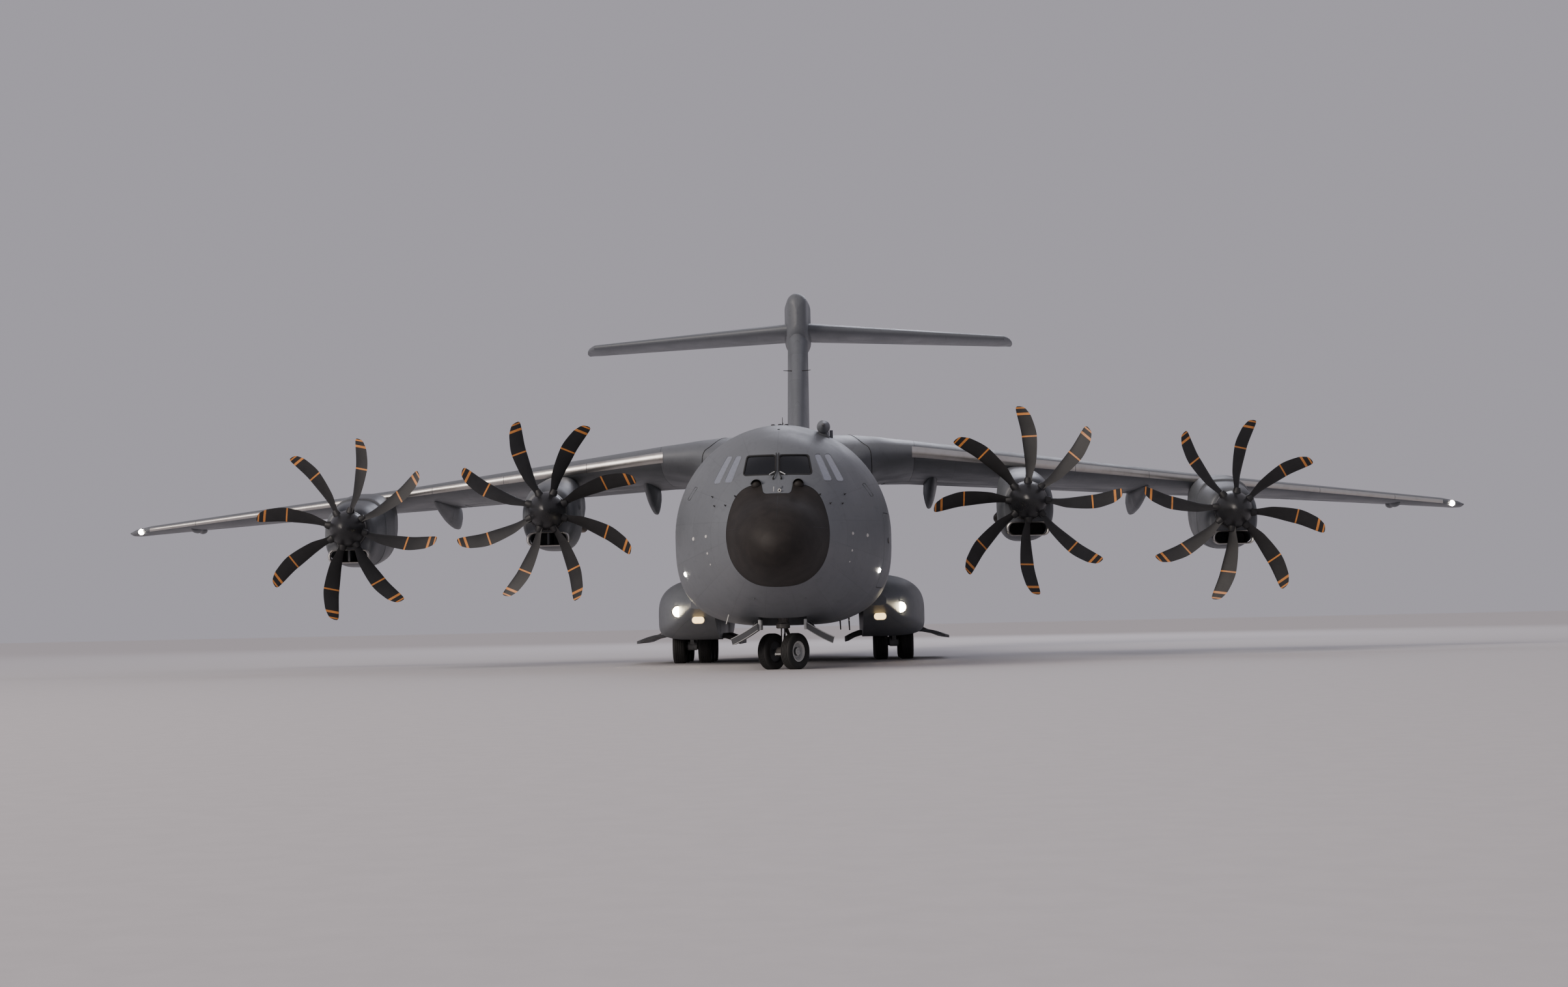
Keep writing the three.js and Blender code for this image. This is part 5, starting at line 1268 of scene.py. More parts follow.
def nacelle(name):
    """A nacelle that turns from ovals to rounded boxes, with its intake, pipes and scoops."""
    x, z, s, share, taper = ENGINES[name]
    d = np.append([0.27, 0.285, 0.3, 0.33, 0.36, 0.42, 0.55, 0.75], np.linspace(1, 6.8, 34))
    half, top, bottom = columns(NACELLE, d)
    aft = d[:, None]
    half = half * (1 - taper * np.clip((aft - 1) / 4, 0, 1))
    c, n = squared(circle(72), 0.82 - 0.14 * np.clip((aft - 0.5) / 1.5, 0, 1))
    real = np.where(d > 2, d * share, np.minimum(d, 2 * share))
    real = np.maximum.accumulate(real + np.arange(len(d)) * 1e-4)
    rings = xyz(x + half * c, s + real[:, None], z + (top + bottom) / 2 + n * (top - bottom) / 2)
    duct = prism(INTAKE * [0.93, 1] + [x, z], s + 0.1, s + 1.5, front_place)
    well = rod([x, s, z], [x, s + 0.36, z], 0.4, 40)
    both(f"nacelle_{name}_cowling", [skin(rings)], nacelle_paint, [f"nacelle_{name}"],
         cuts=[duct, well])
    outline = INTAKE * 1.03 + [x, z + 0.015]
    out = unit(outline - outline.mean(0))
    flat = outline[:, None] + out[:, None] * LIP[:, :1]
    lip = loop_skin(xyz(flat[..., 0], s + 0.33 + LIP[:, 1], flat[..., 1]))
    both(f"intake_lip_{name}", [lip], edge_metal, sharp=50)
    splitter = rounded(rectangle(x - 0.03, z - 0.94, x + 0.03, z - 0.62), 0.02, 4)
    # The plate at the pocket's back is painted shade: a dark sheet that stands in for the shaded depth of the
    # duct. The splitter in front of it is a real part.
    back = INTAKE * [0.92, 0.98] + [x, z]
    inside = [prism(splitter, s + 0.3, s + 1.4, front_place), prism(back, s + 1.36, s + 1.46, front_place)]
    both(f"intake_duct_{name}", inside, dark_grey)
    pipe = [(0.05, 0.2), (0.13, 0.22), (0.15, 0.36), (0.17, 0.36), (0.2, 0.1), (0.2, -0.3), (0.05, -0.35)]
    rows = [[-0.28, 0.01, 0.03], [-0.1, 0.05, 0.1], [0.1, 0.07, 0.12], [0.3, 0.05, 0.08], [0.5, 0.008, 0.02]]
    d = np.linspace(-0.28, 0.5, 12)
    pipes, scoops = [], []
    for side in (-1, 1):
        pipes.append(lathe(pipe, [x + side * 0.4, s + 4.3 * share, z - 0.22], [side * 0.3, 1, -0.16], 28))
        scoops.append(oval_body(x + side * 0.74, s + 1.3 + d[:, None], z + 0.15, *columns(rows, d), 14))
    both(f"exhaust_stubs_{name}", pipes, hot_metal)
    both(f"nacelle_scoops_{name}", scoops, nacelle_paint)


BLADE = [  # radius, half chord, sweep, pitch in degrees, half thickness
    [0.3, 0.1, 0.0, 62, 0.075], [0.6, 0.125, -0.03, 56, 0.06], [1.1, 0.205, -0.08, 45, 0.038],
    [1.8, 0.245, -0.05, 35, 0.025], [2.35, 0.215, 0.08, 29, 0.016], [2.56, 0.165, 0.17, 27, 0.011],
    [2.64, 0.115, 0.215, 26, 0.008], [2.665, 0.04, 0.25, 26, 0.004],
]
STRIPES = [(0.672, 0.688), (0.907, 0.931), (0.975, 0.99)]  # parts of the radius
# Distance behind the propeller's middle, radius
SPINNER = [[-0.62, 0.0], [-0.6, 0.07], [-0.56, 0.15], [-0.45, 0.27], [-0.34, 0.36], [-0.18, 0.455],
           [-0.02, 0.515], [0.12, 0.54], [0.225, 0.55]]


def blade(sense):
    """One swept blade up the z axis: lens sections whose chord, sweep, pitch and thickness follow the table,
    with orange faces in the stripes' radii."""
    whole = BLADE[-1][0]
    marks = np.ravel(STRIPES) * whole
    radius = np.unique(np.append(spread((0.3, 2.3, 34), (2.32, whole, 16)), marks))
    half, sweep, pitch, thick = columns(BLADE, radius)
    c, n = np.cos(np.radians(pitch)), np.sin(np.radians(pitch))
    along = -np.cos(np.linspace(0, math.pi, 12))
    shape = section_half((1 + along) / 2) * 2
    along = half * np.concatenate([along, along[-2:0:-1]])
    up = thick * np.concatenate([shape, -0.7 * shape[-2:0:-1]])
    rings = xyz(sense * (along * c - up * n - sweep), -along * n - up * c, radius[:, None])
    middle = (radius[:-1] + radius[1:]) / 2 / whole
    striped = sum((middle > low) & (middle < high) for low, high in STRIPES)
    return skin(rings, tone=np.repeat(striped, rings.shape[1]))


def propeller(name, engine, side, sense, turn):
    """Eight blades in their cuffs round a spinner, turned to rest at an angle."""
    x, z, s = ENGINES[engine][:3]
    centre, body = [side * x, s, z], f"propeller_{name}"

    def eight(part):
        return [one for k in range(8) for one in moved([part], about((0, 1, 0), turn + k * 45), centre)]

    blades = eight(blade(sense))
    piece(f"blades_{name}", blades, [blade_black, stripe_orange], body, [body], sharp=40)
    d = spread((-0.62, -0.5, 10), (-0.48, 0.225, 24))
    r = blend(SPINNER, d)[:, 0]
    r[0] = 0.01
    shell = lathe([*zip(r, d), (0.55, 0.245), (0.3, 0.25), (0.3, 0.33), (0.05, 0.33)], centre, [0, 1, 0], 64)
    piece(f"spinner_{name}", [shell], spinner_dark, body)
    cuff = lathe([(0.02, 0.28), (0.12, 0.3), (0.125, 0.5), (0.105, 0.6), (0.09, 0.64), (0.02, 0.65)],
                 [0, 0, 0], [0, 0, 1], 24)
    piece(f"blade_cuffs_{name}", eight(cuff), blade_black, body)
    band = [(0.49, 0.0), (0.556, 0.155), (0.558, 0.17), (0.556, 0.185), (0.49, 0.19)]
    band = lathe(band, centre, [0, 1, 0], 64)
    piece(f"spinner_band_{name}", [band], steel, body)


# Name, engine, side, sense of the blades, turn at rest in degrees
PROPELLERS = [("outer_port", "outer", 1, -1, 9), ("inner_port", "inner", 1, 1, 1),
              ("inner_starboard", "inner", -1, -1, 22), ("outer_starboard", "outer", -1, 1, 13)]


# Fin, tailplane and bullet

# Height, leading and trailing edge stations, half thickness
FIN = np.array([[5.6, 29.2, 41.0, 0.43], [6.7, 32.0, 41.2, 0.43], [7.6, 33.3, 41.45, 0.425],
                [13.0, 38.5, 43.1, 0.4]])
RUDDER = {"low": 6.75, "high": 12.1, "chord": 0.7, "swell": 0.025, "trim": 0.02, "fall": 0.045}
# Station, half width, bottom and top
BULLET = [[38.3, 0.02, 13.3, 13.9], [38.34, 0.14, 13.05, 14.2], [38.5, 0.33, 12.8, 14.48],
          [38.7, 0.39, 12.6, 14.6], [39.5, 0.45, 12.4, 14.69], [40.6, 0.54, 12.3, 14.7],
          [42.2, 0.48, 12.4, 14.45], [43.8, 0.26, 12.7, 13.9], [44.5, 0.1, 13.05, 13.55],
          [44.7, 0.02, 13.2, 13.32]]
# Columns as in WING
TAILPLANE = np.array([[0, 39.2, 43.85, 13.28, 13.28, 0.6, 0], [8.7, 42.2, 45.06, 13.03, 13.03, 0.3, 0],
                      [8.85, 42.55, 45.07, 13.03, 13.03, 0.25, 0], [9.0, 43.0, 45.08, 13.03, 13.03, 0.18, 0],
                      [9.13, 43.6, 45.09, 13.02, 13.02, 0.1, 0], [9.2, 44.2, 45.1, 13.02, 13.02, 0.04, 0]])
BEHIND = 47.0  # a station behind the whole plane
ELEVATOR = {"inner": 0.95, "outer": 8.6, "chord": 0.7}


def straight_row(table, place):
    return np.stack([np.interp(place, table[:, 0], table[:, k]) for k in range(1, table.shape[1])], -1)


def fin_point(z, u, side):
    """Fin surface: x from the section's half thickness, the station along the chord."""
    lead, trail, half = np.moveaxis(straight_row(FIN, z), -1, 0)
    edge = 0.012 * np.minimum(1, np.sqrt(u / 0.01))
    return xyz(side * (half * 2 * section_half(u) + edge), lead + (trail - lead) * u, z)


def fin_hinge(z):
    half, s, z = fin_point(z, RUDDER["chord"], 1)
    return np.array([0, s, z]), half


def fin_and_rudder():
    """The fin, cut away behind the rudder's hinge line, and the rudder."""
    z = spread((5.6, 7.6, 12), (7.8, 13.0, 22))[:, None]
    u = (1 - np.cos(np.linspace(0, math.pi, 30))) / 2
    rings = even(np.concatenate([fin_point(z, u[::-1], 1), fin_point(z, u[1:], -1)], 1))
    (p, rp), (q, rq) = fin_hinge(RUDDER["low"]), fin_hinge(RUDDER["high"])
    gap = [[p[1], p[2] - PIN_GAP], [q[1], q[2] + PIN_GAP], [BEHIND, q[2] + PIN_GAP], [BEHIND, p[2] - PIN_GAP]]
    step, wider = unit(q - p) * PIN_GAP, CLEAR + RUDDER["swell"]
    cove = rod(p - step, q + step, rp + wider, 40, end_radius=rq + wider)
    piece("fin_box", [skin(rings, "zip", "zip")], fin_paint, nodes=["fin"],
          cuts=less(prism(gap, -1, 1, side_place), cove))

    def rudder_surface(t, f, side):
        """The skins behind the hinge line; the rudder's upper edge falls towards its back."""
        z = p[2] + RUDDER["trim"] + (q[2] - p[2] - 2 * RUDDER["trim"]) * t
        hinge = p[1] + (q[1] - p[1]) * (z - p[2]) / (q[2] - p[2])
        reach = (straight_row(FIN, z)[..., 1] - hinge) * f
        z = z - reach * RUDDER["fall"] * t
        lead, trail, half = np.moveaxis(straight_row(FIN, z), -1, 0)
        s = hinge + reach
        u = np.clip((s - lead) / (trail - lead), 0, 1)
        return xyz(side * (half * 2 * section_half(u) + 0.012), s, z)

    rudder = round_nosed(((p + step, rp), (q - step, rq)), rudder_surface)
    piece("rudder_panel", [rudder], fin_paint, "rudder", ["rudder"])


def tailplane():
    """The tailplane, the bullet over the fin's top, and the elevators."""
    span, row_at = (ELEVATOR["inner"], ELEVATOR["outer"]), lambda x: straight_row(TAILPLANE[:2], x)
    ends = [core(row_at(x), x, ELEVATOR["chord"]) for x in span]
    port = hinge_cuts(ends, BEHIND, low=12, high=15, follow=0)
    spaces = [way([space])[0] for space in port for way in (list, across)]
    x = np.unique(np.concatenate([-TAILPLANE[1:, 0], np.linspace(-8.4, 8.4, 29), TAILPLANE[1:, 0]]))
    rings = even(foil_rings(straight_row(TAILPLANE, np.abs(x)), x, 30))
    piece("tailplane_box", [skin(rings, "zip", "zip")], smooth_wing, nodes=["tailplane"],
          cuts=less(*spaces))
    s = np.append([38.3, 38.32, 38.35, 38.4, 38.46], np.linspace(38.55, 44.7, 44))
    half, bottom, top = columns(BULLET, s)
    a, reach = circle(48), (top - bottom) / 2
    flank = np.maximum(reach - half, 0)  # straight sides between two half circles
    z = (top + bottom) / 2 + np.where(np.sin(a) >= 0, flank, -flank) + np.minimum(half, reach) * np.sin(a)
    piece("tail_bullet", [skin(xyz(half * np.cos(a), s[:, None], z))], smooth_wing)
    elevator = hinged_foil(ends, span, row_at)
    both("elevator_panel", [elevator], wing_paint, ["elevator"], "elevator")


def fin_fittings():
    """Pins on the fin's sides and discharge wicks along the rudder."""
    pins = [rod([side * 0.2, 35.9, 11.1], [side * 0.54, 35.9, 11.12], 0.022, 8, end_radius=0.012)
            for side in (-1, 1)]
    piece("fin_pins", pins, aerial)
    wicks = []
    for z in 7.4 + 0.72 * np.arange(7):
        s = straight_row(FIN, z)[1]
        wicks.append(rod([0, s - 0.03, z], [0, s + 0.14, z], 0.006, 6))
    piece("rudder_wicks", wicks, aerial, "rudder")


# Landing gear

# Station, outer x, top and bottom
SPONSON = [[11.6, 2.75, 1.95, 1.6], [12.4, 3.2, 2.2, 1.2], [13.6, 3.65, 2.42, 0.9], [15.0, 3.93, 2.56, 0.74],
           [16.4, 3.99, 2.58, 0.71], [21.5, 3.99, 2.58, 0.71], [23.2, 3.75, 2.4, 0.9], [24.6, 3.2, 2.1, 1.3],
           [25.3, 2.8, 1.95, 1.6]]
SPONSON_INNER = 2.1
BAY = {"inner": 2.4, "outer": 3.8, "front": 16.4, "back": 21.5, "top": 1.8, "sill": 0.88}


def sponsons():
    """Blisters on the sides: superellipses of power 2.8 above their middle and 5 below."""
    s = spread((11.6, 16.4, 34), (16.7, 21.5, 12), (21.7, 25.3, 22))
    outer, top, bottom = columns(SPONSON, s)
    middle = bottom + (top - bottom) * 0.38
    arc = lambda angle, power: [np.clip(v, 0, 1) ** (2 / power) for v in (np.cos(angle), np.sin(angle))]
    high_x, high_z = arc(np.linspace(math.pi / 2, 0, 26), 2.8)
    low_x, low_z = arc(np.linspace(0, math.pi / 2, 24)[1:], 5)
    x = SPONSON_INNER + (outer - SPONSON_INNER) * np.concatenate([high_x, low_x])
    z = np.concatenate([middle + (top - middle) * high_z, middle - (middle - bottom) * low_z], 1)
    bay = block([BAY["inner"], BAY["front"], -0.5], [BAY["outer"], BAY["back"], BAY["top"]])
    sill = block([1.9, BAY["front"], -0.5], [4.3, BAY["back"], BAY["sill"]])
    both("sponson_shell", [skin(xyz(x, s[:, None], z))], hull_paint, ["sponson"],
         cuts=[bay, sill])


def tyre(radius, width):
    """Tyre profile: round shoulders, four grooves in the tread and a bead at the rim."""
    w, bead = width / 2, radius * 0.56
    shoulder = [(radius * 0.992, w * 0.62), (radius * 0.975, w * 0.78), (radius * 0.92, w * 0.93),
                (radius * 0.8, w), (bead * 1.2, w), (bead * 1.04, w * 0.9), (bead, w * 0.62)]
    rows = [(r, -d) for r, d in reversed(shoulder)]
    for g in (-0.45, -0.15, 0.15, 0.45):
        groove = ((0, -0.045), (0.014, -0.03), (0.014, 0.03), (0, 0.045))
        rows += [(radius - deep, w * (g + half)) for deep, half in groove]
    r, x = np.array(rows + shoulder + [(bead * 0.98, w * 0.5), (bead * 0.98, -w * 0.5)]).T
    a = circle(64)[:, None] + math.pi / 64
    return loop_skin(xyz(x, r * np.cos(a), r * np.sin(a)))


def rim(radius, width, side):
    """Wheel rim: a dished disc with a flange, hub and bolts on its outer side."""
    r, w = radius * 0.56, width / 2
    tones = [2, 2, 0, 0, 0, 1, 1, 2, 0, 1]
    rows = [(0.97, -0.58), (1, -0.66), (1, 0.76), (0.88, 0.78), (0.8, 0.5), (0.62, 0.2), (0.42, 0.24),
            (0.36, 0.6), (0.28, 0.66), (0.05, 0.66)]
    disc = [(0.05, -w * 0.55)] + [(r * p, w * d) for p, d in rows]
    bolt = [(0.004, -w * 0.1), (r * 0.1, -w * 0.1), (r * 0.1, 0.012), (r * 0.05, 0.02), (0.004, 0.02)]
    bolts = [lathe(bolt, [side * w * 0.3, r * 0.7 * math.cos(a), r * 0.7 * math.sin(a)], [side, 0, 0], 10, 1)
             for a in circle(9)]
    return [lathe(disc, [0, 0, 0], [side, 0, 0], 48, tones), *bolts]


def wheel_pair(body, centre, wheel, turn=None):
    """Two tyres, their rims and the axle between them, turned and set at a centre."""
    radius, width, half = wheel["radius"], wheel["width"], wheel["half"]
    tyres, rims = [], []
    for side in (-1, 1):
        tyres += moved([tyre(radius, width)], None, [side * half, 0, 0])
        rims += moved(rim(radius, width, side), None, [side * half, 0, 0])
    rims.append(rod([-half, 0, 0], [half, 0, 0], wheel["axle"], 16, 2))
    piece(f"{body}_tyres", moved(tyres, turn, centre), rubber, body, [body], sharp=40)
    finishes = [rim_pale, gear_grey, dark_grey]
    piece(f"{body}_rims", moved(rims, turn, centre), finishes, body, sharp=35)


MAIN = {"radius": 0.545, "width": 0.39, "half": 0.3875, "axle": 0.075, "track": 3.08}
NOSE = {"radius": 0.46, "width": 0.29, "half": 0.36, "axle": 0.06, "station": 4.95}
STEER = 36  # degrees
# x and z round the nose door's section
NOSE_DOOR = [(0.615, 1.155), (1.275, 0.785), (1.24, 0.635), (0.605, 0.995)]


def axle_height(wheel):
    return wheel["radius"] * math.cos(math.pi / 12)


def scissor(top, bottom, out, wide):
    """Torque link: two tapered arms that meet at a knee pushed out to one side."""
    top, bottom, out = [np.asarray(v, float) for v in (top, bottom, out)]
    knee, thick = (top + bottom) / 2 + out, 0.03
    side = unit(np.cross(out, bottom - top))
    arms = []
    for start in (top, bottom):
        n = unit(np.cross(knee - start, side)) * thick / 2
        rings = []
        for t, share in ((0, 1), (0.5, 0.75), (1, 0.5)):
            p, w = start + (knee - start) * t, side * wide * share
            rings.append([p + w + n, p + w - n, p - w - n, p - w + n])
        arms.append(skin(np.array(rings)))
    arms.append(rod(knee - side * wide * 0.8, knee + side * wide * 0.8, thick * 0.8, 12))
    return arms


MAIN_STATIONS = {"front": 17.1, "middle": 18.85, "rear": 20.6}


def main_gear():
    """Three legs on each side with pistons, torque links and stays, and their wheels and doors."""
    x, z = MAIN["track"], axle_height(MAIN)
    leg = [(0.02, -0.02), (0.14, 0), (0.14, 0.12), (0.125, 0.16), (0.125, 0.5), (0.14, 0.52), (0.14, 0.6),
           (0.02, 0.61)]
    hub = [(0.02, -0.14), (0.125, -0.14), (0.135, -0.12), (0.135, 0.12), (0.125, 0.14), (0.02, 0.14)]
    grey, bright = [block([2.9, 16.7, 1.62], [3.26, 21.2, 1.79], 0.03)], []
    for s in MAIN_STATIONS.values():
        top, foot = np.array([x, s - 0.12, 1.7]), np.array([x, s, z])
        middle = (top + foot) / 2
        bright.append(rod(middle, foot, 0.085, 28))
        grey += [lathe(leg, top, foot - top, 32), lathe(hub, foot, [1, 0, 0], 28)]
        grey += scissor(middle + [0, -0.12, 0], foot + [0, -0.12, 0.06], [0, -0.24, 0], 0.07)
        grey.append(rod([x, s + 0.55, 1.7], [x, s + 0.09, 0.75], 0.055, 14))
        grey += [rod([x + d, s + 0.02, 1.66], [x + d, s + 0.03, 0.8], 0.016, 8) for d in (-0.16, 0.16)]
    both("main_legs", grey, gear_grey, ["main_gear_legs"])
    both("main_strut_pistons", bright, chrome)
    for side, sign in (("port", 1), ("starboard", -1)):
        for name, s in MAIN_STATIONS.items():
            wheel_pair(f"main_wheels_{name}_{side}", [sign * x, s, z], MAIN)
    main_door("inner", 2.33, 0.79, 1.59, 0.555, 0.14)
    main_door("outer", 3.86, 0.82, 4.75, 0.62, 0.08)


def main_door(name, x0, z0, x1, z1, thick):
    """An open door of the main bay: a bowed slab that narrows at its ends, and its arms."""
    s = np.linspace(BAY["front"] + 0.05, BAY["back"] - 0.05, 24)[:, None]
    t = np.linspace(0, 1, 12)
    ends = np.clip(np.minimum(s - s[0], s[-1] - s) / 0.3, 0, 1)
    reach = t * (0.85 + 0.15 * np.sqrt(1 - (1 - ends) ** 2))
    outer = xyz(x0 + (x1 - x0) * reach, s, z0 + (z1 - z0) * reach + 0.05 * np.sin(math.pi * t))
    both(f"main_door_{name}", [slab(outer + [0, 0, thick], outer)], dark_grey, [f"main_gear_door_{name}"])
    arms = []
    for s in (16.9, 18.4, 19.9, 21.0):
        root, middle, far = [[x0 + (x1 - x0) * k, s, z0 + (z1 - z0) * rise + lift]
                             for k, rise, lift in ((0.08, 0, 0.04), (0.5, 0.5, 0.06), (0.7, 0.7, 0.07))]
        arms += [rod(root, far, 0.03, 8), rod(middle, [x0 + (3.1 - x0) * 0.25, s, 1.1], 0.02, 8)]
    both(f"main_door_{name}_arms", arms, steel)


def nose_gear():
    """The fixed upper leg, and the steered piston, knuckle and wheels, turned as they stand."""
    s, z = NOSE["station"], axle_height(NOSE)
    leg = [(0.02, 0), (0.14, 0), (0.14, 0.1), (0.125, 0.12), (0.125, 0.5), (0.145, 0.51), (0.145, 0.53),
           (0.13, 0.545), (0.02, 0.545)]
    fixed = [block([-0.25, s - 0.25, 1.62], [0.25, s + 0.25, 1.79], 0.03),
             lathe(leg, [0, s, 1.7], [0, 0, -1], 32), rod([0, 6.0, 1.7], [0, s + 0.1, 1.15], 0.05, 16),
             block([-0.2, 5.8, 1.66], [0.2, 6.2, 1.79], 0.02)]
    fixed += [rod([d, s - 0.16, 1.62], [d, s - 0.17, 1.2], 0.016, 8) for d in (-0.07, 0.07)]
    piece("nose_leg", fixed, leg_dark, nodes=["nose_gear_leg"])

    turn = about((0, 0, 1), -STEER)
    steered = lambda *parts: moved(parts, turn, [0, s, 0])
    collar = lathe([(0.02, 0), (0.17, 0), (0.175, 0.02), (0.175, 0.1), (0.15, 0.12), (0.02, 0.12)],
                   [0, 0, 1.14], [0, 0, -1], 32)
    hub = lathe([(0.02, -0.17), (0.1, -0.17), (0.115, -0.15), (0.115, 0.15), (0.1, 0.17), (0.02, 0.17)],
                [0, 0, z], [1, 0, 0], 28)
    links = scissor([0, 0.1, 1.04], [0, 0.1, z + 0.06], [0, 0.2, 0], 0.06)
    low = z - 0.06
    tow = [rod([-0.09, -0.2, low], [0.09, -0.2, low], 0.02, 14),
           block([-0.03, -0.2, low - 0.02], [0.03, -0.02, low + 0.02], 0.004)]
    tow += [rod([e * 0.09, -0.2, low], [e * 0.105, -0.2, low], 0.036, 16) for e in (-1, 1)]
    fork = "nose_gear_fork"
    piston = rod([0, 0, 1.06], [0, 0, z], 0.062, 28)
    piece("nose_piston", steered(piston), chrome, fork, [fork])
    piece("nose_knuckle", steered(collar, hub, *links), leg_dark, fork)
    piece("nose_tow_fitting", steered(*tow), rim_pale, fork)
    wheel_pair("nose_wheels", [0, s, z], NOSE, turn)
    nose_doors()


def nose_doors():
    """The nose bay's open doors, slabs that sag between their edges, with rims and brackets."""
    def sheet(first, last, s, count):
        (x0, z0), (x1, z1) = NOSE_DOOR[first], NOSE_DOOR[last]
        t = np.linspace(0, 1, count)
        return xyz(x0 + (x1 - x0) * t, s, z0 + (z1 - z0) * t - 0.02 * np.sin(math.pi * t))

    s = np.linspace(4.2, 6.2, 16)[:, None]
    door = slab(sheet(0, 1, s, 10), sheet(3, 2, s, 10))
    both("nose_door", [door], dark_grey, ["nose_gear_door"])
    x, z = NOSE_DOOR[1]
    paths = [sheet(0, 1, 4.198, 8), sheet(3, 2, 4.198, 8), xyz(x, [4.2, 5.2, 6.2], z)]
    both("nose_door_rims", [tube(path, 0.008, 8) for path in paths], gear_grey)
    brackets = [block([0.53, s - 0.03, 0.99], [0.6, s + 0.03, 1.25], 0.012) for s in (4.3, 5.0, 5.7)]
    both("nose_door_brackets", brackets, gear_grey)
    struts = [rod([0.5, s, 1.5], [0.8, s, 1.0], 0.02, 8) for s in (5.0, 5.8)]
    both("nose_door_struts", struts, dark_grey)


# Lamps, probe, aerials and small fittings


def lamps():
    """On each side a round landing lamp, a hooded taxi lamp and a lamp on the nose, all lit."""
    place, way = [3.165, 12.3, 1.545], [0.12, -1, 0.0]
    bezel = [(0.1419, -0.02), (0.1848, -0.02), (0.1914, 0.012), (0.17325, 0.03), (0.1485, 0.02), (0.1419, 0)]
    bowl = [(0.01, -0.12), (0.0825, -0.096), (0.1485, -0.01), (0.1452, 0.006), (0.07425, 0.016), (0.01, 0.02)]
    both("landing_lamp_bezels", [lathe(bezel, place, way, 40)], steel)
    both("landing_lamp_bowls", [lathe(bowl, place, way, 40)], landing_glow)
    pill = rounded(rectangle(2.405, 1.2, 2.74, 1.39), 0.09, 8)
    hood = prism(pill.mean(0) + (pill - pill.mean(0)) * 1.1, 12.02, 12.7, front_place, bevel=0.012)
    both("taxi_lamp_hoods", [hood], gear_grey)
    both("taxi_lamp_lenses", [prism(pill, 12.0, 12.2, front_place, bevel=0.01)], warm_glow)
    dot = [(0.005, -0.03), (0.06, -0.02), (0.065, 0.01), (0.045, 0.035), (0.005, 0.045)]
    dots = [lathe(dot, *on_nose(side * 2.435, 2.43), 20) for side in (-1, 1)]
    piece("nose_side_lamps", dots, white_glow)


def probe():
    """An oval pipe over the flight deck on a foot that flares into the hull."""
    x = 1.115
    rows = [[5.04, 0.05, 6.11, 0.05], [5.1, 0.075, 6.11, 0.075], [5.2, 0.11, 6.105, 0.11],
            [5.3, 0.15, 6.1, 0.15], [5.36, 0.166, 6.1, 0.166], [5.5, 0.17, 6.1, 0.17],
            [5.9, 0.15, 6.115, 0.15], [6.4, 0.125, 6.14, 0.13], [7.4, 0.12, 6.18, 0.13],
            [8.2, 0.1, 6.17, 0.11], [8.6, 0.06, 6.14, 0.07]]
    s = spread((5.04, 5.6, 24), (5.7, 8.6, 40))
    half, z, tall = columns(rows, s)
    pipe = oval_body(x, s[:, None], z, half, tall, 36)
    rows = [[5.45, 0.02, 0.1], [5.7, 0.1, 0.5], [6.4, 0.13, 0.6], [7.6, 0.12, 0.5], [8.5, 0.02, 0.3]]
    s = np.linspace(5.45, 8.5, 30)
    wide, deep = columns(rows, s)
    down = np.linspace(1, 0, 10)
    reach = wide * (1 + 1.6 * down**2)
    foot = slab(*[xyz(x + side * reach, s[:, None], 6.1 - deep * down) for side in (1, -1)])
    nozzle = [(0.01, -0.1), (0.03, -0.09), (0.044, -0.06), (0.046, -0.02), (0.038, 0), (0.042, 0.03),
              (0.01, 0.05)]
    piece("probe_fairing", [pipe, foot], hull_paint, nodes=["refuelling_probe"])
    piece("probe_nozzle", [lathe(nozzle, [x, 5.03, 6.112], [0, 1, 0], 32)], dark_grey)
    piece("probe_side_fairing", [block([1.265, 6.05, 5.8], [1.352, 6.4, 6.065], 0.012)], plain_grey)


def fin_aerial(base, normal, height, chord, lean=0.4, thick=0.03):
    """A swept blade aerial: lens sections that shrink from the base to a rounded tip."""
    normal = unit(normal)
    aft = unit(np.array([0, 1.0, 0]) - normal * normal[1])
    side = np.cross(normal, aft)
    a = circle(20)[:, None]
    lens = np.cos(a) * aft * chord / 2 + np.sin(a) * side * thick / 2
    sizes = ((-0.2, 1.1), (0.0, 1.05), (0.3, 0.86), (0.7, 0.66), (0.93, 0.5), (0.99, 0.36), (1.0, 0.2))
    return skin(np.array([base + (normal + aft * lean) * height * t + lens * size for t, size in sizes]))


def crown(s, x):
    """The fuselage's upper skin at a station and x, from the section's upper half."""
    top, _, half, widest, _ = hull_row(s)
    return np.array([x, s, widest + (top - widest) * math.sqrt(1 - (x / half) ** 2)])


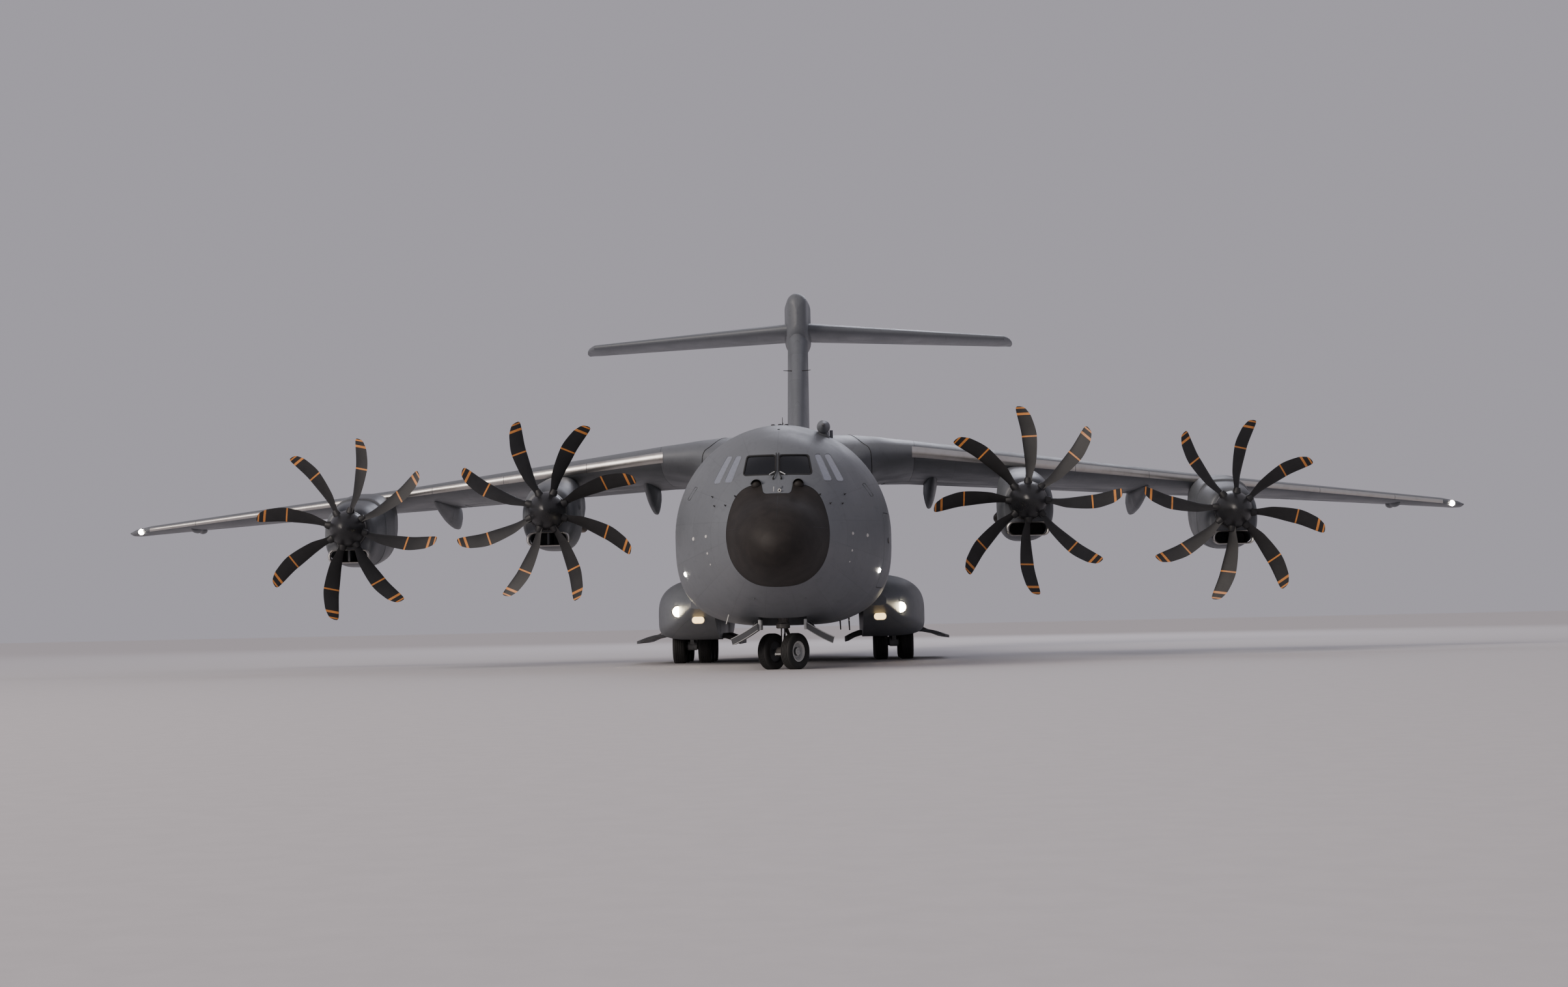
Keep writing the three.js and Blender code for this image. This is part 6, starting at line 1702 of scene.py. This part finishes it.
def fittings():
    """Air-data probes, ports, aerials and the vision lens."""
    dark, white, grey = [], [], []
    foot = [(0.004, -0.01), (0.028, -0.01), (0.028, 0.004), (0.004, 0.006)]
    for x, z in ((1.01, 4.19), (1.25, 3.98), (1.54, 4.0), (1.6, 4.24)):
        for side in (-1, 1):
            q, n = on_nose(side * x, z)
            tip = q + unit(n + [0, -0.25, 0]) * 0.045
            dark += [rod(q - n * 0.02, tip, 0.011, 10), lathe(foot, q, n, 16)]
            dark.append(rod(tip + [0, 0.015, 0], tip + [0, -0.07, 0], 0.008, 10, end_radius=0.005))
    for x, z, r in ((2.14, 3.27, 0.05), (1.775, 3.285, 0.042), (1.75, 2.875, 0.032), (1.685, 2.605, 0.022)):
        port = [(0.004, -r), (r, -r), (r, 0), (r * 0.8, r * 0.4), (0.004, r * 0.5)]
        for side in (-1, 1):
            q, n = on_nose(side * x, z)
            white.append(lathe(port, q, n + [0, -0.5, 0], 20))
    for x, z in ((-0.62, 1.765), (0.0, 1.695), (0.61, 1.74)):
        grey.append(fin_aerial(*on_nose(x, z), 0.07, 0.1, 0.3, 0.02))
    lens, forward = on_nose(0.06, 4.255, 0.03)[0], [0, -1.0, 0]
    rim_ = [(0.016, -0.16), (0.04, -0.16), (0.042, 0.02), (0.03, 0.028), (0.018, 0.006)]
    pupil = [(0.004, -0.16), (0.02, -0.15), (0.019, 0.008), (0.004, 0.012)]
    white.append(lathe(rim_, lens, forward, 28))
    dark.append(lathe(pupil, lens, forward, 24))
    grey.append(patch(rounded(rectangle(0.05, 4.33, 0.11, 4.4), 0.012, 4), 0.03, -0.03, 3))
    white.append(patch(rounded(rectangle(-0.088, 4.255, -0.076, 4.385), 0.005, 3), 0.004, -0.01, 2))
    base = crown(7.0, 0.04)
    dark.append(rod(base - [0, 0, 0.03], base + [0, 0.02, 0.25], 0.011, 8, end_radius=0.007))
    dome = [(0.01, -0.03), (0.06, -0.02), (0.058, 0.02), (0.04, 0.038), (0.01, 0.04)]
    dark += [lathe(dome, crown(6.45, x), [0, 0, 1], 20) for x in (-0.19, -0.01, 0.157)]
    small_dome = [(0.01, -0.02), (0.035, -0.01), (0.033, 0.008), (0.01, 0.012)]
    dark.append(lathe(small_dome, crown(4.67, 0), [0, -0.3, 1], 16))
    for s, x, height in ((9.4, 0.0, 0.34), (11.2, 0.35, 0.22), (26.5, 0.0, 0.3)):
        dark.append(fin_aerial(crown(s, x), [0, 0, 1], height, 0.4))
    dark += [fin_aerial([0, s, 1.12], [0, 0, -1], 0.2, 0.3) for s in (8.6, 10.2)]
    white.append(rod([-1.34, 4.86, 1.42], [-1.42, 4.92, 1.16], 0.017, 10, end_radius=0.012))
    for x, low in ((1.43, 0.95), (1.67, 0.93)):
        dark.append(rod([x, 9.0, 1.3], [x + 0.015, 9.02, low], 0.024, 10, end_radius=0.018))
    button = [(0.004, 0), (0.02, 0), (0.016, 0.012), (0.004, 0.014)]
    white.append(lathe(button, [1.67, 8.97, 1.2], forward, 12))
    piece("nose_probes_and_aerials", dark, aerial)
    piece("nose_white_ports", white, white_spot)
    piece("vision_lens_housing", grey, hull_paint)


def sensors():
    """Two domes on the radome's edge under open cowls that reach forwards at their tops."""
    cowls, faces = [], []
    radius, cowl, z = SENSORS["radius"], SENSORS["cowl"], SENSORS["z"]
    for side in (-1, 1):
        x, s = side * SENSORS["x"], SENSORS["front"] + 0.02
        a = np.linspace(0.05, math.pi / 2, 12)
        dome = [*zip(radius * np.sin(a), -radius * np.cos(a)), (radius, 0.3), (0.01, 0.3)]
        faces.append(lathe(dome, [x, s, z], [0, 1, 0], 40))
        a = np.linspace(math.radians(12), math.radians(168), 30)
        front = s - 0.06 - 0.09 * np.sin(a)
        share = np.linspace(0, 1, 8)[:, None]
        depth = front + (s + 0.5 - front) * share
        cowls.append(slab(*[xyz(x + r * np.cos(a), depth, z + r * np.sin(a) + 0.02 * share)
                            for r in (cowl, cowl - 0.018)]))
    piece("sensor_cowls", cowls, hull_paint)
    piece("sensor_domes", faces, radome_paint)


def wipers():
    """Two parked wipers: pivots, short arms and long blades along the centre post."""
    chevrons, blades = [], []
    for side in (-1, 1):
        def along(xs, zs, lift, radius, count):
            return tube(on_nose(side * np.asarray(xs), zs, lift)[0], radius, count)

        pivot, n = on_nose(side * 0.095, 4.58, 0.02)
        hub = [(0.004, -0.02), (0.022, -0.02), (0.024, 0.02), (0.016, 0.03), (0.004, 0.03)]
        radii = [0.013, 0.012, 0.011, 0.009]
        arm = along([0.095, 0.06, 0.04, 0.036], [4.58, 4.66, 4.74, 4.9], 0.05, radii, 10)
        blades += [lathe(hub, pivot, n, 20), arm, along(0.03, np.linspace(4.76, 5.235, 10), 0.035, 0.013, 8)]
        chevrons.append(along([0.187, 0.125, 0.062], [4.66, 4.7, 4.735], 0.05, 0.013, 8))
    piece("wiper_chevrons", chevrons, gear_grey)
    piece("wiper_arms_and_blades", blades, seal)


def door_outlines():
    """Thin joints of doors and hatches, as dark strips in the skin."""
    strips = []

    def joint(points, radius):
        strips.append(tube(np.concatenate([points, points[:2]]), radius, 6))

    for s, low, length, high in ((9.2, 12, 1.1, 16), (24.0, 12, 1.0, 22)):
        corners = filled(rounded(rectangle(s, low, s + length, low + high), 0.2, 5), 0.8)
        angle = np.radians(corners[:, 1] - 20)
        for port_or_starboard in (angle, math.pi - angle):
            joint(on_hull(corners[:, 0], port_or_starboard, 0.001)[0], 0.007)
    for side in (-1, 1):
        corners = [[side * x, z] for x, z in ((2.34, 4.3), (2.12, 4.6), (2.05, 4.57), (2.27, 4.27))]
        joint(on_nose(*rounded(corners, 0.02, 3).T, 0.001)[0], 0.006)
    piece("hatch_joints", strips, seal)


# Flight deck


def flight_deck():
    """Floor, panel, bulkhead, console and two seats behind the windows."""
    floor_ = hull_slice(np.linspace(2.5, 5.24, 20), 3.62, 3.72, 0.16, 3)
    panel = hull_slice(np.linspace(2.52, 2.98, 6), 3.7, 4.36, 0.17, 5)
    bulk = hull_slice([5.13, 5.24], 2.6, 5.2, 0.165)
    way = block([-0.35, 5.0, 3.73], [0.35, 5.4, 5.6])
    piece("flight_deck_floor", [floor_], deck_black, nodes=["flight_deck"])
    piece("instrument_panel", [panel], aerial)
    piece("cockpit_bulkhead", [bulk], inside_paint, cuts=less(way))
    screens = []
    for x in (-1.1, -0.72, -0.2, 0.2, 0.72, 1.1):
        outline = rounded(rectangle(x - 0.15, 4.0, x + 0.15, 4.28), 0.02, 3)
        screens.append(prism(outline, 2.97, 3.0, front_place, 0.004))
    piece("instrument_screens", screens, screen_glow)
    piece("centre_console", [block([-0.28, 3.0, 3.7], [0.28, 4.1, 4.08], 0.03)], aerial)
    knob = [(0.004, 0), (0.018, 0), (0.016, 0.03), (0.004, 0.032)]
    knobs = [lathe(knob, [x, s, 4.08], [0, 0, 1], 8) for x in (-0.18, -0.06, 0.06, 0.18)
             for s in np.arange(3.15, 4.0, 0.12)]
    a = circle(24)[:19]
    for x in (-0.72, 0.72):
        knobs.append(rod([x, 3.1, 4.1], [x, 3.35, 4.3], 0.02, 10))
        knobs.append(tube(xyz(x + 0.13 * np.cos(a), 3.36, 4.34 + 0.1 * np.sin(a)), 0.014, 8))
    piece("console_knobs", knobs, dark_grey)
    shells = []
    for x, name in ((-0.72, "starboard"), (0.72, "port")):
        shells.append(block([x - 0.26, 3.78, 3.72], [x + 0.26, 4.26, 3.98], 0.04))
        shells.append(block([x - 0.26, 4.3, 3.8], [x + 0.26, 4.36, 4.9], 0.02))
        seat = cushion([x, 4.02, 4.06], 0.5, 0.46, 0.14, [0, 0, 1])
        back = cushion([x, 4.25, 4.45], 0.48, 0.66, 0.12, [0, -1, 0.1])
        for part, made in (("seat", seat), ("back", back)):
            obj = piece(f"pilot_{part}_cushion_{name}", [made], seat_cloth)
    piece("pilot_seat_shells", shells, dark_grey)


def cloth_nodes(t, p):
    """Woven cloth: two crossed waves."""
    a, b = [t.node("ShaderNodeTexWave", {"Vector": p, "Scale": 90.0}, bands_direction=way).outputs["Fac"]
            for way in "XZ"]
    weave = t.times(a, b)
    tint = t.mix(weave, (0.03, 0.034, 0.04, 1), (0.055, 0.06, 0.068, 1))
    return {"Base Color": tint, "Roughness": 0.9, "Sheen Weight": 0.3, "Normal": bump(t, weave, 0.0008)}


seat_cloth = material("seat_woven_cloth", cloth_nodes)


def cushion(centre, wide, long, thick, normal):
    """A crowned pad: a superellipse whose thickness is its middle's times the square root of 1 - r^4."""
    centre, n, side = np.array(centre), unit(normal), np.array([1.0, 0, 0])
    up = np.cross(n, side)
    a = circle(40)
    r = np.sin(np.linspace(0, math.pi / 2, 9))[1:, None]
    c, d = squared(a, 0.5)
    pull = r * (1 - 0.04 * np.cos(2 * a) ** 2) / 2
    flat = centre + (c * wide * pull)[..., None] * side + (d * long * pull)[..., None] * up
    rise = (thick / 2 * np.sqrt(1 - r**4))[..., None] * n
    return skin(np.concatenate([flat + rise, (flat - 0.8 * rise)[::-1]]), centre + n * thick / 2,
                centre - n * thick * 0.4)


nose_forms()
cockpit_windows()
crew_door()
barrel()
deck()
tail_form()
ramp_and_door()
wing_parts()
for engine in ENGINES:
    nacelle(engine)
for row in PROPELLERS:
    propeller(*row)
fin_and_rudder()
tailplane()
fin_fittings()
sponsons()
main_gear()
nose_gear()
lamps()
probe()
fittings()
sensors()
wipers()
door_outlines()
flight_deck()


# Camera, floor and light

# Real metres and radians
CAMERA = {"x": 1.335, "s": -49.6, "z": 1.116, "yaw": -0.0228, "pitch": 0.0601, "roll": -0.0209}


def camera():
    """The camera that took the photograph, fitted to the plane: turned by yaw, pitch and roll."""
    yaw, pitch, roll = CAMERA["yaw"], CAMERA["pitch"], CAMERA["roll"]
    ahead_ = Vector((math.sin(yaw) * math.cos(pitch), math.cos(yaw) * math.cos(pitch), math.sin(pitch)))
    right = Vector((math.cos(yaw), -math.sin(yaw), 0))
    up = right.cross(ahead_)
    r = right * math.cos(roll) + up * math.sin(roll)
    u = up * math.cos(roll) - right * math.sin(roll)
    data = bpy.data.cameras.new("camera")
    data.lens, data.sensor_width, data.sensor_fit, data.clip_end = 49.99, 36.0, "HORIZONTAL", 500
    obj = placed("camera", data)
    turn = Matrix((r, u, -ahead_)).transposed().to_4x4()
    obj.matrix_world = Matrix.Translation(Vector(model([CAMERA["x"], CAMERA["s"], CAMERA["z"]]))) @ turn
    bpy.context.scene.camera = obj


def light(name, kind, way, energy, color):
    """A light that shines along a direction."""
    data = bpy.data.lights.new(name, kind)
    data.energy, data.color = energy, color
    obj = placed(name, data)
    obj.rotation_euler = Vector(way).to_track_quat("-Z", "Y").to_euler()
    return obj


def area_light(name, place, target, size, energy, color):
    obj = light(name, "AREA", Vector(target) - Vector(place), energy, color)
    obj.data.shape, obj.data.size, obj.location = "DISK", size, place


WARM = (1.0, 0.9, 0.82)


def studio():
    """A wide pale floor under an even sky, a broad sun from the left and two large lamps."""
    grid = np.linspace(-900, 900, 3)
    mesh = bpy.data.meshes.new("studio_floor")
    mesh.from_pydata([(x, y, 0) for y in grid for x in grid], [], quads(3, 3, False, False).tolist())
    mesh.materials.append(plain("studio_floor", (0.56, 0.54, 0.55), 0.8, 30.0, 0.04))
    placed("studio_floor", mesh)
    world = bpy.data.worlds.new("studio_sky")
    bpy.context.scene.world = world
    world.use_nodes = True
    back = world.node_tree.nodes["Background"]
    back.inputs["Color"].default_value = (0.64, 0.61, 0.68, 1)
    back.inputs["Strength"].default_value = 0.62
    sun = light("broad_key_from_left", "SUN", (0.75, 0.7, -0.62), 1.7, WARM)
    sun.data.angle = math.radians(35)
    area_light("key_from_front_left", (-24, -34, 12), (0, -2, 3), 12, 4200, WARM)
    area_light("rim_from_behind", (6, 34, 24), (0, 4, 4), 18, 3600, (0.86, 0.88, 1.0))


camera()
studio()
